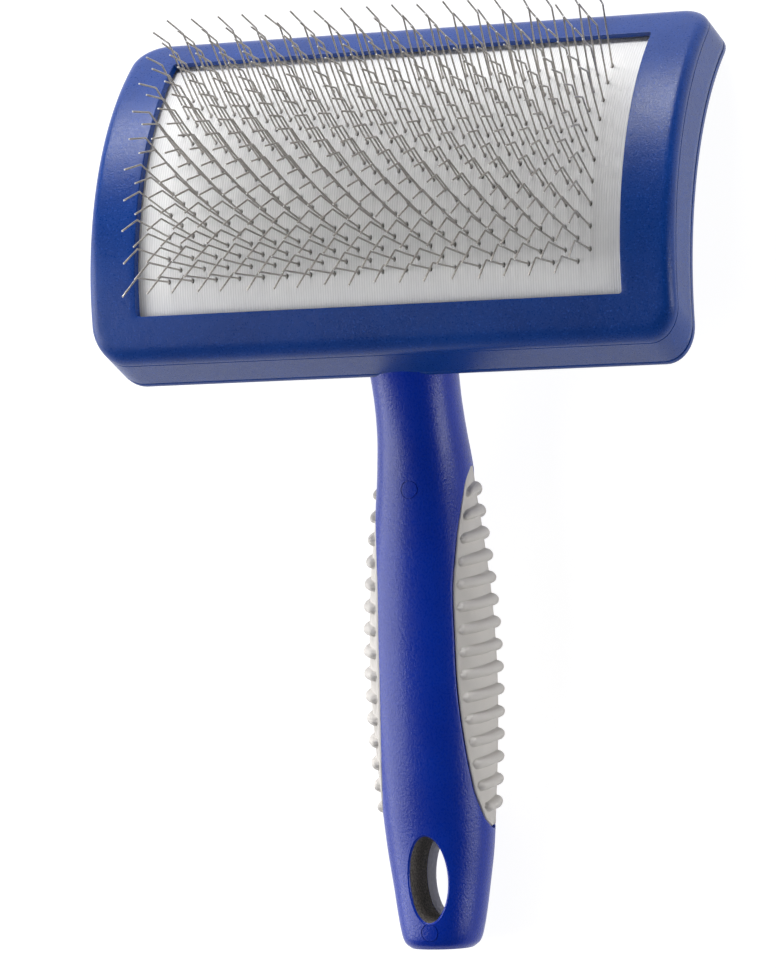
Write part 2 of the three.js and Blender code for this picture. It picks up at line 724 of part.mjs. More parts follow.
function keep(name, solid, color, roughness, metalness) {
  const mesh = solid.getMesh();
  bodies.push({ name, mesh, color, roughness, metalness });
}

const solid = handleSolid();
const cavity = handleCavity();
const pockets = bothPockets();
const hole = hangHole();

keep("head_frame", headFrame(), BLUE, 0.42, 0);
keep("back_body", bodyRear(solid, cavity, pockets, hole, backPlate()), BLUE, 0.42, 0);
keep("handle_front", handleFront(solid, cavity, pockets, hole), BLUE, 0.42, 0);
keep("grip_right_front", gripPiece(1, 1), GREY, 0.75, 0);
keep("grip_right_rear", gripPiece(1, -1), GREY, 0.75, 0);
keep("grip_left_front", gripPiece(-1, 1), GREY, 0.75, 0);
keep("grip_left_rear", gripPiece(-1, -1), GREY, 0.75, 0);
keep("screw_neck", screw(NECK_SCREW), STEEL, 0.3, 1);
keep("screw_end", screw(END_SCREW), STEEL, 0.3, 1);
keep("pad_sheet", padSheet(), WHITE, 0.8, 0);
keep("pad_cushion", padCushion(), FOAM, 0.9, 0);
keep("pad_backing", padBacking(), BOARD, 0.8, 0);
for (let row = 0; row < ROW_COUNT; row += 1) {
  const number = String(row + 1).padStart(2, "0");
  keep(`pin_row_${number}`, pinRow(row), STEEL, 0.3, 1);
}

// Lowest point of some bodies once the brush is turned by an angle about X.
function lowest(names, angle) {
  let low = Infinity;
  const sin = Math.sin(angle);
  const cos = Math.cos(angle);
  for (const body of bodies) {
    if (!names(body.name)) continue;
    const values = body.mesh.vertProperties;
    for (let i = 0; i < values.length; i += 3) {
      if (names.part && !names.part(values[i + 1])) continue;
      low = Math.min(low, values[i + 1] * sin + values[i + 2] * cos);
    }
  }
  return low;
}

// Turns the brush until the head's back edge and the handle's back touch the table together.
function restingAngle() {
  const headSide = (name) => name === "back_body";
  headSide.part = (y) => y > 0;
  const handleSide = (name) => name === "back_body" || name.startsWith("grip");
  handleSide.part = (y) => y < -45;
  let low = degrees(-40);
  let high = degrees(0);
  for (let k = 0; k < 60; k += 1) {
    const middle = (low + high) / 2;
    if (lowest(handleSide, middle) > lowest(headSide, middle)) low = middle;
    else high = middle;
  }
  return (low + high) / 2;
}

const turn = new THREE.Matrix4().makeRotationX(restingAngle());
const group = new THREE.Group();
for (const body of bodies) {
  const geometry = new THREE.BufferGeometry();
  geometry.setAttribute("position", new THREE.BufferAttribute(Float32Array.from(body.mesh.vertProperties), 3));
  geometry.setIndex(new THREE.BufferAttribute(Uint32Array.from(body.mesh.triVerts), 1));
  geometry.applyMatrix4(turn);
  const material = new THREE.MeshStandardMaterial({
    color: body.color,
    roughness: body.roughness,
    metalness: body.metalness,
  });
  const mesh = new THREE.Mesh(geometry, material);
  mesh.name = body.name;
  group.add(mesh);
}

const box = new THREE.Box3().setFromObject(group);
const shift = new THREE.Vector3(0, -(box.min.y + box.max.y) / 2, -box.min.z);
for (const mesh of group.children) mesh.geometry.translate(shift.x, shift.y, shift.z);

export default group;
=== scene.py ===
"""Looks of the slicker brush: fine surfaces, materials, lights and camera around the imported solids."""

import json
import math
import random

import bmesh
import bpy
import numpy as np
from mathutils import Matrix, Vector


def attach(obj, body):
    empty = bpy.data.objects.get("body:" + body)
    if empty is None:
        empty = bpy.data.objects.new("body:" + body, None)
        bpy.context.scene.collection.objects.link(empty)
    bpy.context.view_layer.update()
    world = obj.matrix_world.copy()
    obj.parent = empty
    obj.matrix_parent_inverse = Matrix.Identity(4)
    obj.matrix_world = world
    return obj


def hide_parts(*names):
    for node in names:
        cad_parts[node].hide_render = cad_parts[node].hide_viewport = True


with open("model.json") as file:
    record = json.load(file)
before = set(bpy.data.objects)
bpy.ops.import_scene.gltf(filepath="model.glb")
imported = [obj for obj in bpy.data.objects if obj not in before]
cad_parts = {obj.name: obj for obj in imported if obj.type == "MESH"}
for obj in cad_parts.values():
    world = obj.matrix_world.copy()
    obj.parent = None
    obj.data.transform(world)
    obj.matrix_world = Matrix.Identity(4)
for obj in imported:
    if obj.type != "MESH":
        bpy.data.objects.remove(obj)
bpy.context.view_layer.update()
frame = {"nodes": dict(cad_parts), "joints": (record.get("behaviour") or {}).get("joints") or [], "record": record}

# Shapes are drawn in millimetres in two frames, the head's and the handle's, as the solids are.
MM = 0.001

# ---- head: drawn on a cylinder whose axis is X, with its front at HEAD_RADIUS
HEAD_RADIUS = 80.0
HEAD_HALF_WIDTH = 83.2
HEAD_HALF_HEIGHT = 47.6
HEAD_CORNER_RADIUS = 8.6
FRAME_EDGE_RADIUS = 3.0
FRAME_DEPTH = 15.0
FRAME_FLARE = 0.2
FRAME_WALL = 2.2
FRAME_LIP = 1.6
OPENING_HALF_WIDTH = 69.0
OPENING_HALF_HEIGHT = 37.6
OPENING_CORNER_RADIUS = 0.6
OPENING_DRAFT = 0.4
OPENING_EDGE_RADIUS = 0.35
FIT_GAP = 0.3
BACK_PLATE_THICKNESS = 1.8
PLATE_EDGE_RADIUS = 0.5
PLATE_FRONT = FRAME_DEPTH + FIT_GAP
PLATE_REAR = PLATE_FRONT + BACK_PLATE_THICKNESS

# ---- pad and pins
PAD_RECESS = 2.5
PAD_HALF_WIDTH = 71.75
PAD_HALF_ANGLE = 30.00
SHEET_RADIUS = HEAD_RADIUS - PAD_RECESS
SHEET_THICKNESS = 1.6
PINS_PER_ROW = 18
PIN_PITCH = 6.8571
ROW_OFFSET_DEG = -0.5013
WIRE_RADIUS = 0.25
PIN_SHANK = 21.6
PIN_TIP = 10.8
PIN_BEND_DEG = 28.9
PIN_SIDE_LEAN_DEG = 6.0
PIN_SPLAY_DEG = 4.4
PIN_BEND_RADIUS = 1.3
ROW_HALF_LENGTH = (PINS_PER_ROW - 1) * PIN_PITCH / 2

# ---- handle: drawn along its grip axis, s away from the head, d to the front, x across
SECTION_POWER = 2.2
PARTING_OFFSET = -2.5
NECK_SEAM = -38.0
HANDLE_END = 122.8
END_FACE_OFFSET = 2.0
GRIP_START = -7.5
GRIP_END = 89.5
GRIP_DEPTH = 2.2
GRIP_EDGE_GAP = 0.35
GRIP_END_GAP = 0.45
GRIP_SLANT = 1.9
RIB_COUNT = 15
RIB_PITCH = 6.0
RIB_HEIGHT = 1.85
RIB_HALF_THICKNESS = 1.58
RIB_EDGE_DISTANCE = 1.5
# The foot of a rib, as shares of its half thickness and its height.
RIB_FOOT = 0.95
RIB_FOOT_LENGTH = 0.09
RIB_FOOT_HEIGHT = 0.31
HANG_HOLE = 104.0
HANG_HOLE_HALF_WIDTH = 5.4
HANG_HOLE_HALF_LENGTH = 11.5
SCREW_SINKS = {0.0: 4.5, 118.2: 3.0}
SCREW_STATIONS = tuple(SCREW_SINKS)
SCREW_HEAD_RADIUS = 2.5
SCREW_HEAD_HEIGHT = 1.6
SCREW_SHANK_RADIUS = 1.45
RECESS_HALF_WIDTH = 0.36
RECESS_HALF_LENGTH = 1.55
WITNESS_MARK_RADIUS = 2.5
ROOT_FILLET = 4.5

# Distance along the grip axis, half width, half depth, offset to the front.
HANDLE_SECTIONS = np.array([
    (-100, 6.1, 12.2, 18.9),
    (-94, 12.2, 14.3, 19.6),
    (-86, 17.3, 16.3, 21),
    (-76, 19.4, 16.3, 20.6),
    (-66, 18.3, 15.3, 19.2),
    (-58, 15.6, 13.7, 16.7),
    (-50, 13.5, 12.1, 12.7),
    (-42, 12.3, 11.4, 9.1),
    (-32, 11.8, 11.1, 5.5),
    (-23, 11.6, 11, 3.2),
    (-14, 12, 11.2, 1.3),
    (-7, 12.7, 11.6, 0.3),
    (0, 13.3, 12.1, 0),
    (12, 14.8, 12.9, 0),
    (24, 16.1, 13.8, 0),
    (36, 16.9, 14.3, 0),
    (48, 17.2, 14.5, 0),
    (60, 17, 14.2, 0),
    (72, 16.4, 13.5, 0),
    (84, 15.6, 12.3, 0),
    (92, 15, 11.4, 0),
    (98, 14.4, 10.9, 0),
    (106, 13.2, 10.4, 0.2),
    (114, 12, 9.9, 0.7),
    (119, 11, 9.4, 1.1),
    (121.5, 10, 8.7, 1.3),
    (122.8, 8.4, 7.3, 1.4),
])

# Angle of the grip's front edge, from the right side (0) to the front (90).
GRIP_EDGES = np.array([
    (-7.5, -4),
    (-4, 12),
    (0, 22),
    (6, 33),
    (12, 41),
    (24, 50),
    (40, 52),
    (51, 51.5),
    (64, 46.5),
    (78, 35.5),
    (84, 24),
    (87, 14),
    (89.5, -4),
])


# ---------- where the head and the handle are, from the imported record


def head_placement():
    """Centre of the head's cylinder and its tilt, from the circle through the pin rows' hinges."""
    pivots = np.array([joint["pos_m"][1:] for joint in frame["joints"]]) / MM
    system = np.column_stack([2 * pivots, np.ones(len(pivots))])
    solved = np.linalg.lstsq(system, (pivots**2).sum(axis=1), rcond=None)[0]
    centre = solved[:2]
    radius = math.sqrt(solved[2] + centre @ centre)
    middle = (pivots - centre).mean(axis=0)
    tilt = math.atan2(-middle[0], middle[1]) + math.radians(ROW_OFFSET_DEG)
    outward = pivots - centre
    angles = np.arctan2(outward[:, 0], outward[:, 1]) + tilt
    return centre, tilt, radius, angles


HEAD_CENTRE, HEAD_TILT, PIVOT_RADIUS, ROW_ANGLES = head_placement()
ROW_STEP = float(ROW_ANGLES[0] - ROW_ANGLES[-1]) / (len(ROW_ANGLES) - 1)


def from_head(points):
    """Points of the head's own frame, as points of the row frame in metres."""
    points = np.asarray(points, float)
    cos, sin = math.cos(HEAD_TILT), math.sin(HEAD_TILT)
    y = points[..., 1] * cos - points[..., 2] * sin + HEAD_CENTRE[0]
    z = points[..., 1] * sin + points[..., 2] * cos + HEAD_CENTRE[1]
    return np.stack([points[..., 0], y, z], axis=-1) * MM


def handle_placement():
    """Origin, front direction and length direction of the handle, from the flat face at its end."""
    mount = next(m for m in frame["record"]["mounts"] if m["name"] == "handle_end")
    along = np.array(mount["axis"], float)
    along /= np.linalg.norm(along)
    front = np.array([0, along[2], -along[1]])
    origin = np.array(mount["pos_m"]) / MM - HANDLE_END * along - END_FACE_OFFSET * front
    return origin, front, along


HANDLE_ORIGIN, HANDLE_FRONT, HANDLE_ALONG = handle_placement()


def from_handle(x, d, s):
    """Points of the handle's own frame, as points of the row frame in metres."""
    x, d, s = np.broadcast_arrays(x, d, s)
    across = np.array([1.0, 0, 0])
    placed = x[..., None] * across + d[..., None] * HANDLE_FRONT + s[..., None] * HANDLE_ALONG
    return (placed + HANDLE_ORIGIN) * MM


def handle_to_head(points):
    """Points of the row frame in metres, as points of the head's own frame in millimetres."""
    points = np.asarray(points, float) / MM
    cos, sin = math.cos(HEAD_TILT), math.sin(HEAD_TILT)
    y = points[..., 1] - HEAD_CENTRE[0]
    z = points[..., 2] - HEAD_CENTRE[1]
    return np.stack([points[..., 0], y * cos + z * sin, z * cos - y * sin], axis=-1)


# ---------- mesh helpers


def grid_faces(rows, columns, first=0, close_rows=False, close_columns=False):
    faces = []
    for r in range(rows if close_rows else rows - 1):
        for c in range(columns if close_columns else columns - 1):
            here = first + r * columns
            there = first + (r + 1) % rows * columns
            after = (c + 1) % columns
            faces.append((here + c, here + after, there + after, there + c))
    return faces


def grid_border(rows, columns):
    """The points round the edge of a grid, in order."""
    border = list(range(columns)) + [r * columns + columns - 1 for r in range(1, rows)]
    border += [(rows - 1) * columns + c for c in range(columns - 2, -1, -1)]
    return border + [r * columns for r in range(rows - 2, 0, -1)]


def band_faces(upper, lower):
    """Faces between two closed loops of as many points."""
    count = len(upper)
    return [(upper[k], upper[(k + 1) % count], lower[(k + 1) % count], lower[k]) for k in range(count)]


SHARP_DEG = 34.0


def make_mesh(name, points, faces, sharp_deg=SHARP_DEG):
    mesh = bpy.data.meshes.new(name)
    mesh.from_pydata(np.asarray(points, float).reshape(-1, 3).tolist(), [], faces)
    return finish_mesh(mesh, sharp_deg)


def finish_mesh(mesh, sharp_deg=SHARP_DEG):
    """Welds shared points, turns the faces outwards and shades the mesh smooth between sharp edges."""
    work = bmesh.new()
    work.from_mesh(mesh)
    bmesh.ops.remove_doubles(work, verts=work.verts, dist=2e-6)
    bmesh.ops.dissolve_degenerate(work, edges=work.edges, dist=1e-7)
    bmesh.ops.recalc_face_normals(work, faces=work.faces)
    work.to_mesh(mesh)
    work.free()
    mesh.shade_smooth()
    mesh.set_sharp_from_angle(angle=math.radians(sharp_deg))
    return mesh


def ring_solid(name, rings, closed=False):
    """A closed body through rings of points. It joins its ends, or has a flat face at each."""
    rows, columns = np.shape(rings)[:2]
    faces = grid_faces(rows, columns, close_rows=closed, close_columns=True)
    if not closed:
        faces.append(tuple(range(columns)))
        faces.append(tuple(range((rows - 1) * columns, rows * columns)))
    return make_mesh(name, rings, faces)


def add_object(name, data, material=None):
    thing = bpy.data.objects.new(name, data)
    bpy.context.scene.collection.objects.link(thing)
    if material:
        data.materials.append(material)
    return thing


def add_piece(name, mesh, material, body, slot, *nodes):
    """A visible piece of the brush, riding on a body and standing for some of its solids."""
    piece = add_object(name, mesh, material)
    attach(piece, body)
    if nodes:
        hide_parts(*nodes)
    return piece


def cut(mesh, cutters):
    """The mesh with the cutters' space taken out of it."""
    target = add_object("cut_target", mesh)
    tools = [add_object("cut_tool", tool) for tool in cutters]
    for tool in tools:
        modifier = target.modifiers.new("cut", "BOOLEAN")
        modifier.operation = "DIFFERENCE"
        modifier.solver = "EXACT"
        modifier.object = tool
    depsgraph = bpy.context.evaluated_depsgraph_get()
    made = bpy.data.meshes.new_from_object(target.evaluated_get(depsgraph))
    for thing in [target, *tools]:
        bpy.data.objects.remove(thing)
    return finish_mesh(made)


SQUARE = [(-1, -1), (1, -1), (1, 1), (-1, 1)]


def arc(steps):
    """Angles of a quarter turn, in radians."""
    return np.linspace(0, math.pi / 2, steps + 1)


def round_off(distance, radius):
    """How far a rounded edge falls away at a distance from it."""
    near = np.clip(radius - distance, 0, radius)
    return radius - np.sqrt(radius**2 - near**2)


def circle(count):
    """Angles of evenly spaced points round a whole turn, in radians."""
    return np.linspace(0, 2 * math.pi, count + 1)[:-1]


# ---------- head


def crown(y):
    """Height of the head's cylinder over its axis."""
    return np.sqrt(np.maximum(HEAD_RADIUS**2 - np.asarray(y, float) ** 2, 1.0))


def laid(x, y, height):
    """Points over or under the head's front face."""
    x, y, height = np.broadcast_arrays(np.asarray(x, float), y, height)
    return np.stack([x, y, crown(y) + height], axis=-1)


def rear_face(y):
    """Height of the back plate's rear face over the cylinder's axis."""
    return crown(np.clip(y, -HEAD_HALF_HEIGHT, HEAD_HALF_HEIGHT)) - PLATE_REAR


def outline(half_width, half_height, radius):
    """Rounded rectangle, anticlockwise, with matching points whatever its size."""
    corner_steps, long_steps, short_steps = 10, 40, 32
    inner = np.array([half_width - radius, half_height - radius])
    signs = [(1, 1), (-1, 1), (-1, -1), (1, -1)]
    points = []
    for corner, sign in enumerate(signs):
        turn = np.radians(90 * corner) + arc(corner_steps)
        points += list(inner * sign + radius * np.column_stack([np.cos(turn), np.sin(turn)]))
        start = points[-1]
        sign_after = signs[(corner + 1) % 4]
        turn_after = math.radians(90 * corner + 90)
        end = inner * sign_after + radius * np.array([math.cos(turn_after), math.sin(turn_after)])
        steps = long_steps if corner % 2 == 0 else short_steps
        for share in np.linspace(0, 1, steps + 1)[1:-1]:
            points.append(start + (end - start) * share)
    return np.array(points)


def wrapped(flat, height):
    """A flat outline laid on the head's cylinder, raised by a height."""
    return laid(flat[:, 0], flat[:, 1], height)


def outer_loop(inset, height):
    radius = max(HEAD_CORNER_RADIUS - inset, 1.0)
    return wrapped(outline(HEAD_HALF_WIDTH - inset, HEAD_HALF_HEIGHT - inset, radius), height)


def opening_outline(grow):
    radius = OPENING_CORNER_RADIUS + max(grow, 0)
    return outline(OPENING_HALF_WIDTH + grow, OPENING_HALF_HEIGHT + grow, radius)


def frame_front_loops():
    """The frame's front face, from the opening's rounded edge to its own outer edge."""
    edge = OPENING_EDGE_RADIUS
    loops = []
    for turn in arc(4):
        grow = edge * (1 - math.cos(turn))
        loops.append(wrapped(opening_outline(grow), -edge * (1 - math.sin(turn))))
    inner = opening_outline(edge)
    outer = outer_loop(FRAME_EDGE_RADIUS, 0)[:, :2]
    for share in np.linspace(0, 1, 7)[1:]:
        loops.append(wrapped(inner + (outer - inner) * share, 0))
    return loops


def frame_side_loops():
    """The rounded outer edge, the fine step under it, and the flared side wall."""
    radius = FRAME_EDGE_RADIUS
    loops = [outer_loop(radius * (1 - math.sin(t)), -radius * (1 - math.cos(t))) for t in arc(9)[1:]]
    slope = FRAME_FLARE / (FRAME_DEPTH - radius)
    groove = 0.16
    for drop, inset in ((0.55, 0), (0.65, groove), (0.85, groove), (0.95, 0)):
        loops.append(outer_loop(inset - drop * slope, -radius - drop))
    for share in np.linspace(0.15, 1, 7):
        drop = (FRAME_DEPTH - radius - 0.3) * share
        loops.append(outer_loop(-drop * slope, -radius - drop))
    loops.append(outer_loop(0.12 - FRAME_FLARE, -FRAME_DEPTH + 0.06))
    loops.append(outer_loop(0.4 - FRAME_FLARE, -FRAME_DEPTH))
    return loops


def frame_inner_loops():
    """The inside of the wall and the underside of the lip."""
    return [
        outer_loop(FRAME_WALL - FRAME_FLARE, -FRAME_DEPTH),
        outer_loop(FRAME_WALL, -FRAME_LIP - 2),
        outer_loop(FRAME_WALL + 1.6, -FRAME_LIP - 0.4),
        wrapped(opening_outline(-OPENING_DRAFT), -FRAME_LIP),
    ]


def head_frame():
    loops = frame_front_loops() + frame_side_loops() + frame_inner_loops()
    return ring_solid("head_frame", from_head(loops), closed=True)


def plate_layer(grow, depth):
    """One layer of the back plate as a grid: rows along X, ends rounded as the corners are."""
    half_width = HEAD_HALF_WIDTH + FRAME_FLARE + grow
    half_height = HEAD_HALF_HEIGHT + FRAME_FLARE + grow
    radius = HEAD_CORNER_RADIUS + FRAME_FLARE + grow
    straight = half_height - radius
    turns = np.radians(np.linspace(-90, 0, 13))[:-1]
    rows = [(-straight + radius * math.sin(t), half_width - radius * (1 - math.cos(t))) for t in turns]
    rows += [(y, half_width) for y in np.linspace(-straight, straight, 61)]
    rows += [(-y, width) for y, width in reversed(rows[: len(turns)])]
    columns = np.linspace(-1, 1, 41)
    return np.array([laid(columns * width, y, -depth) for y, width in rows])


def back_plate():
    """A curved plate with a rounded edge, as a stack of layers joined round their borders."""
    radius = PLATE_EDGE_RADIUS
    layers = [plate_layer(-0.15, PLATE_FRONT), plate_layer(0, PLATE_FRONT + 0.15)]
    for turn in arc(4):
        drop = PLATE_REAR - radius + radius * math.sin(turn)
        layers.append(plate_layer(-radius * (1 - math.cos(turn)), drop))
    rows, columns = layers[0].shape[:2]
    count = rows * columns
    border = grid_border(rows, columns)
    faces = grid_faces(rows, columns) + grid_faces(rows, columns, first=count)
    points = [layers[0].reshape(-1, 3), layers[-1].reshape(-1, 3)]
    loops = [border]
    for k, layer in enumerate(layers[1:-1]):
        points.append(layer.reshape(-1, 3)[border])
        first = 2 * count + k * len(border)
        loops.append(list(range(first, first + len(border))))
    loops.append([v + count for v in border])
    for upper, lower in zip(loops, loops[1:]):
        faces += band_faces(upper, lower)
    return make_mesh("back_plate", from_head(np.vstack(points)), faces)


# ---------- handle


def smooth_table(table, s):
    """Values of a table's columns at distances s, on smooth curves through its rows."""
    stations = table[:, 0]
    values = table[:, 1:]
    slopes = np.empty_like(values)
    slopes[1:-1] = (values[2:] - values[:-2]) / (stations[2:] - stations[:-2])[:, None]
    slopes[0] = (values[1] - values[0]) / (stations[1] - stations[0])
    slopes[-1] = (values[-1] - values[-2]) / (stations[-1] - stations[-2])
    s = np.clip(np.asarray(s, float), stations[0], stations[-1])
    k = np.clip(np.searchsorted(stations, s) - 1, 0, len(stations) - 2)
    span = stations[k + 1] - stations[k]
    t = ((s - stations[k]) / span)[..., None]
    span = span[..., None]
    made = (2 * t**3 - 3 * t**2 + 1) * values[k] + (t**3 - 2 * t**2 + t) * slopes[k] * span
    return made + (3 * t**2 - 2 * t**3) * values[k + 1] + (t**3 - t**2) * slopes[k + 1] * span


def section_at(s):
    half_width, half_depth, centre = np.moveaxis(smooth_table(HANDLE_SECTIONS, s), -1, 0)
    return half_width, half_depth, centre


def skin_height(x, s, face=1):
    """Offset of the handle's front (or rear) surface over its axis, at places x across and s along."""
    half_width, half_depth, centre = section_at(s)
    share = np.clip(np.abs(x) / half_width, 0, 1) ** SECTION_POWER
    return centre + face * half_depth * (1 - share) ** (1 / SECTION_POWER)


def parting_angle(s):
    """Angle of the point where the parting plane meets the right side of the skin."""
    _, half_depth, centre = section_at(s)
    rise = (PARTING_OFFSET - centre) / half_depth
    return -np.degrees(np.arcsin(np.minimum(np.abs(rise), 0.97) ** (SECTION_POWER / 2)))


def grip_edge_angle(s, face):
    """Angle of the grip's edge on the front shell (face 1) or the rear shell (face -1)."""
    station = np.asarray(s, float) - GRIP_SLANT
    edge = smooth_table(GRIP_EDGES, station)[..., 0]
    parting = parting_angle(s)
    inside = (station > GRIP_START) & (station < GRIP_END)
    edge = np.where(inside, np.maximum(edge, parting), parting)
    return parting + face * (edge - parting)


class Quarter:
    """The skin of one cross-section, from the parting plane round to the front or the rear middle."""

    def __init__(self, s, face):
        half_width, half_depth, centre = section_at(s)
        self.face = face
        self.angles = np.linspace(float(parting_angle(s)), 90.0 * face, 241)
        turn = np.radians(self.angles)
        power = 2 / SECTION_POWER
        x = half_width * np.sign(np.cos(turn)) * np.abs(np.cos(turn)) ** power
        d = centre + half_depth * np.sign(np.sin(turn)) * np.abs(np.sin(turn)) ** power
        x[-1] = 0
        self.line = np.column_stack([x, d])
        steps = np.diff(self.line, axis=0)
        self.lengths = np.concatenate([[0], np.cumsum(np.hypot(steps[:, 0], steps[:, 1]))])
        slope = np.gradient(self.line, self.lengths, axis=0)
        slope /= np.linalg.norm(slope, axis=1)[:, None]
        self.outward = np.column_stack([slope[:, 1], -slope[:, 0]]) * face

    def length_at(self, angle):
        order = slice(None) if self.face > 0 else slice(None, None, -1)
        return float(np.interp(angle, self.angles[order], self.lengths[order]))

    def point(self, length, lift=0.0):
        """Point at a distance round the skin from the parting plane, raised from the skin."""
        length = np.asarray(length, float)
        places = [np.interp(length, self.lengths, self.line[:, k]) for k in range(2)]
        normals = [np.interp(length, self.lengths, self.outward[:, k]) for k in range(2)]
        return np.stack([places[k] + lift * normals[k] for k in range(2)], axis=-1)


SKIN_STEPS = 30
EDGE_STEPS = 4
WALL_STEPS = 2
FLOOR_STEPS = 6
FACE_STEPS = 6
SHELL_EDGE_RADIUS = 0.35
SHELL_GAP = 0.12


def shell_half_ring(s, face):
    """Right half of a shell's section: skin, rounded edge, pocket wall and floor, parting face."""
    quarter = Quarter(s, face)
    edge = quarter.length_at(float(grip_edge_angle(s, face)))
    radius = SHELL_EDGE_RADIUS
    end = quarter.lengths[-1]
    skin = quarter.point(np.linspace(end, edge + radius, SKIN_STEPS + 1))
    turns = arc(EDGE_STEPS)[1:]
    rounded = quarter.point(edge + radius * (1 - np.sin(turns)), -radius * (1 - np.cos(turns)))
    drops = np.linspace(radius, GRIP_DEPTH, WALL_STEPS + 1)[1:]
    wall = quarter.point(np.full(WALL_STEPS, edge), -drops)
    shares = np.linspace(0, 1, FLOOR_STEPS + 1)[1:]
    floor = quarter.point(edge * (1 - shares), -(GRIP_DEPTH + 0.6 * shares))
    level = PARTING_OFFSET + face * SHELL_GAP
    ring = np.vstack([skin, rounded, wall, floor])
    ring[:, 1] = level + face * np.maximum(face * (ring[:, 1] - level), 0)
    # Past the tips of a grip there is no pocket, and the parting face is flat.
    pocket = min(edge / 0.5, 1.0)
    ring[-WALL_STEPS - FLOOR_STEPS :, 1] = level + pocket * (ring[-WALL_STEPS - FLOOR_STEPS :, 1] - level)
    inner = ring[-1, 0]
    flat = np.column_stack([np.linspace(inner, 0, FACE_STEPS + 1)[1:], np.full(FACE_STEPS, level)])
    return np.vstack([ring, flat])


def whole_ring(half, s):
    """A ring round the handle from its right half, which starts and ends in the middle plane."""
    ring = np.vstack([half, half[-2:0:-1] * (-1, 1)])
    return from_handle(ring[:, 0], ring[:, 1], s)


def shell_rings(face, stations):
    return [whole_ring(shell_half_ring(s, face), s) for s in stations]


def shell_stations(start):
    """Stations of the shells, close together at the tips of the grips and round the end."""
    tips = [GRIP_START + GRIP_SLANT, GRIP_END + GRIP_SLANT]
    stations = set(np.round(np.linspace(start, HANDLE_END - 4, 100), 3))
    for tip, inward in zip(tips, (1, -1)):
        stations |= set(np.round(tip + inward * np.linspace(-0.05, 6, 24), 3))
    stations |= set(np.round(HANDLE_END - 4 * (1 - np.sin(arc(12))), 3))
    return sorted(stations)


def root_rings():
    """The neck root: whole sections that run into the back plate, with a fillet round them."""
    rear_count = SKIN_STEPS + 1
    front_count = EDGE_STEPS + WALL_STEPS + FLOOR_STEPS + FACE_STEPS

    def half_ring(s):
        rear = Quarter(s, -1)
        front = Quarter(s, 1)
        behind = rear.point(np.linspace(rear.lengths[-1], 0, rear_count))
        ahead = front.point(np.linspace(0, front.lengths[-1], front_count + 1)[1:])
        return np.vstack([behind, ahead])

    stations = np.linspace(NECK_SEAM, HANDLE_SECTIONS[0, 0], 249)
    tube = handle_to_head([whole_ring(half_ring(s), s) for s in stations])
    clear = rear_face(tube[..., 1]) - tube[..., 2]
    rows = 46
    ways = 1 - (1 - np.linspace(0, 1, rows)) ** 2
    made = np.empty((rows, tube.shape[1], 3))
    for column in range(tube.shape[1]):
        inside = max(int(np.argmax(clear[:, column] < 0)), 1)
        gap = clear[inside - 1, column] / (clear[inside - 1, column] - clear[inside, column])
        gap = min(max(gap, 0.0), 1.0)
        reach = (inside - 1 + gap) * ways
        for axis in range(3):
            made[:, column, axis] = np.interp(reach, np.arange(len(stations)), tube[:, column, axis])
    height = np.maximum(rear_face(made[..., 1]) - made[..., 2], 0)
    height[-1] = 0
    middle = made[..., :2].mean(axis=1, keepdims=True)
    along = np.roll(made[..., :2], -1, axis=1) - np.roll(made[..., :2], 1, axis=1)
    outward = np.stack([along[..., 1], -along[..., 0]], axis=-1)
    away = (outward * (made[..., :2] - middle)).sum(axis=-1, keepdims=True)
    outward *= np.sign(away.sum(axis=1, keepdims=True))
    outward /= np.maximum(np.linalg.norm(outward, axis=-1, keepdims=True), 1e-9)
    # The root meets the plate's edge on the handle's side, where there is no room for the fillet.
    outward[..., 1] = np.where(outward[..., 1] < 0, 0, outward[..., 1])
    made[..., :2] += outward * round_off(height, ROOT_FILLET)[..., None]
    made[..., 2] = rear_face(made[..., 1]) - height
    sunk = made[-1].copy()
    sunk[:, 2] += BACK_PLATE_THICKNESS / 2
    return [from_head(ring) for ring in [sunk, *made[::-1]]]


def hang_hole_cutter():
    """An oval prism through both shells that flares out to round the hole's two rims."""
    rim = 0.8
    around = circle(96)

    def ring(grow, face, sink):
        x = (HANG_HOLE_HALF_WIDTH + grow) * np.cos(around)
        s = HANG_HOLE + (HANG_HOLE_HALF_LENGTH + grow) * np.sin(around)
        return from_handle(x, skin_height(x, s, face) - face * sink, s)

    rounded = [(rim * (1 - math.cos(t)), rim * (1 - math.sin(t))) for t in np.radians(np.linspace(0, 78, 7))]
    rings = [ring(rim, -1, -3)] + [ring(grow, -1, sink) for grow, sink in rounded[::-1]]
    rings += [ring(grow, 1, sink) for grow, sink in rounded] + [ring(rim, 1, -3)]
    return ring_solid("hang_hole_cutter", rings)


def witness_cutter(station):
    """A fine circular line left by the mould, cut into the front."""
    around = circle(64)

    def ring(radius, lift):
        x = radius * np.cos(around)
        s = station + radius * np.sin(around)
        return from_handle(x, skin_height(x, s) + lift, s)

    outer, inner, deep = WITNESS_MARK_RADIUS, WITNESS_MARK_RADIUS - 0.32, -0.16
    rings = [ring(inner, 0.3), ring(outer, 0.3), ring(outer - 0.06, deep), ring(inner + 0.06, deep)]
    return ring_solid("witness_cutter", rings, closed=True)


def rear_seat(station):
    """Offset at which a screw's head sits, sunk below the rear surface."""
    return float(skin_height(0, station, -1)) + SCREW_SINKS[station]


def turned(name, station, profile):
    """A round body across the handle, from the radius and the depth of each of its rings."""
    around = circle(48)
    rings = []
    for radius, depth in profile:
        rings.append(from_handle(radius * np.cos(around), depth, station + radius * np.sin(around)))
    return ring_solid(name, rings)


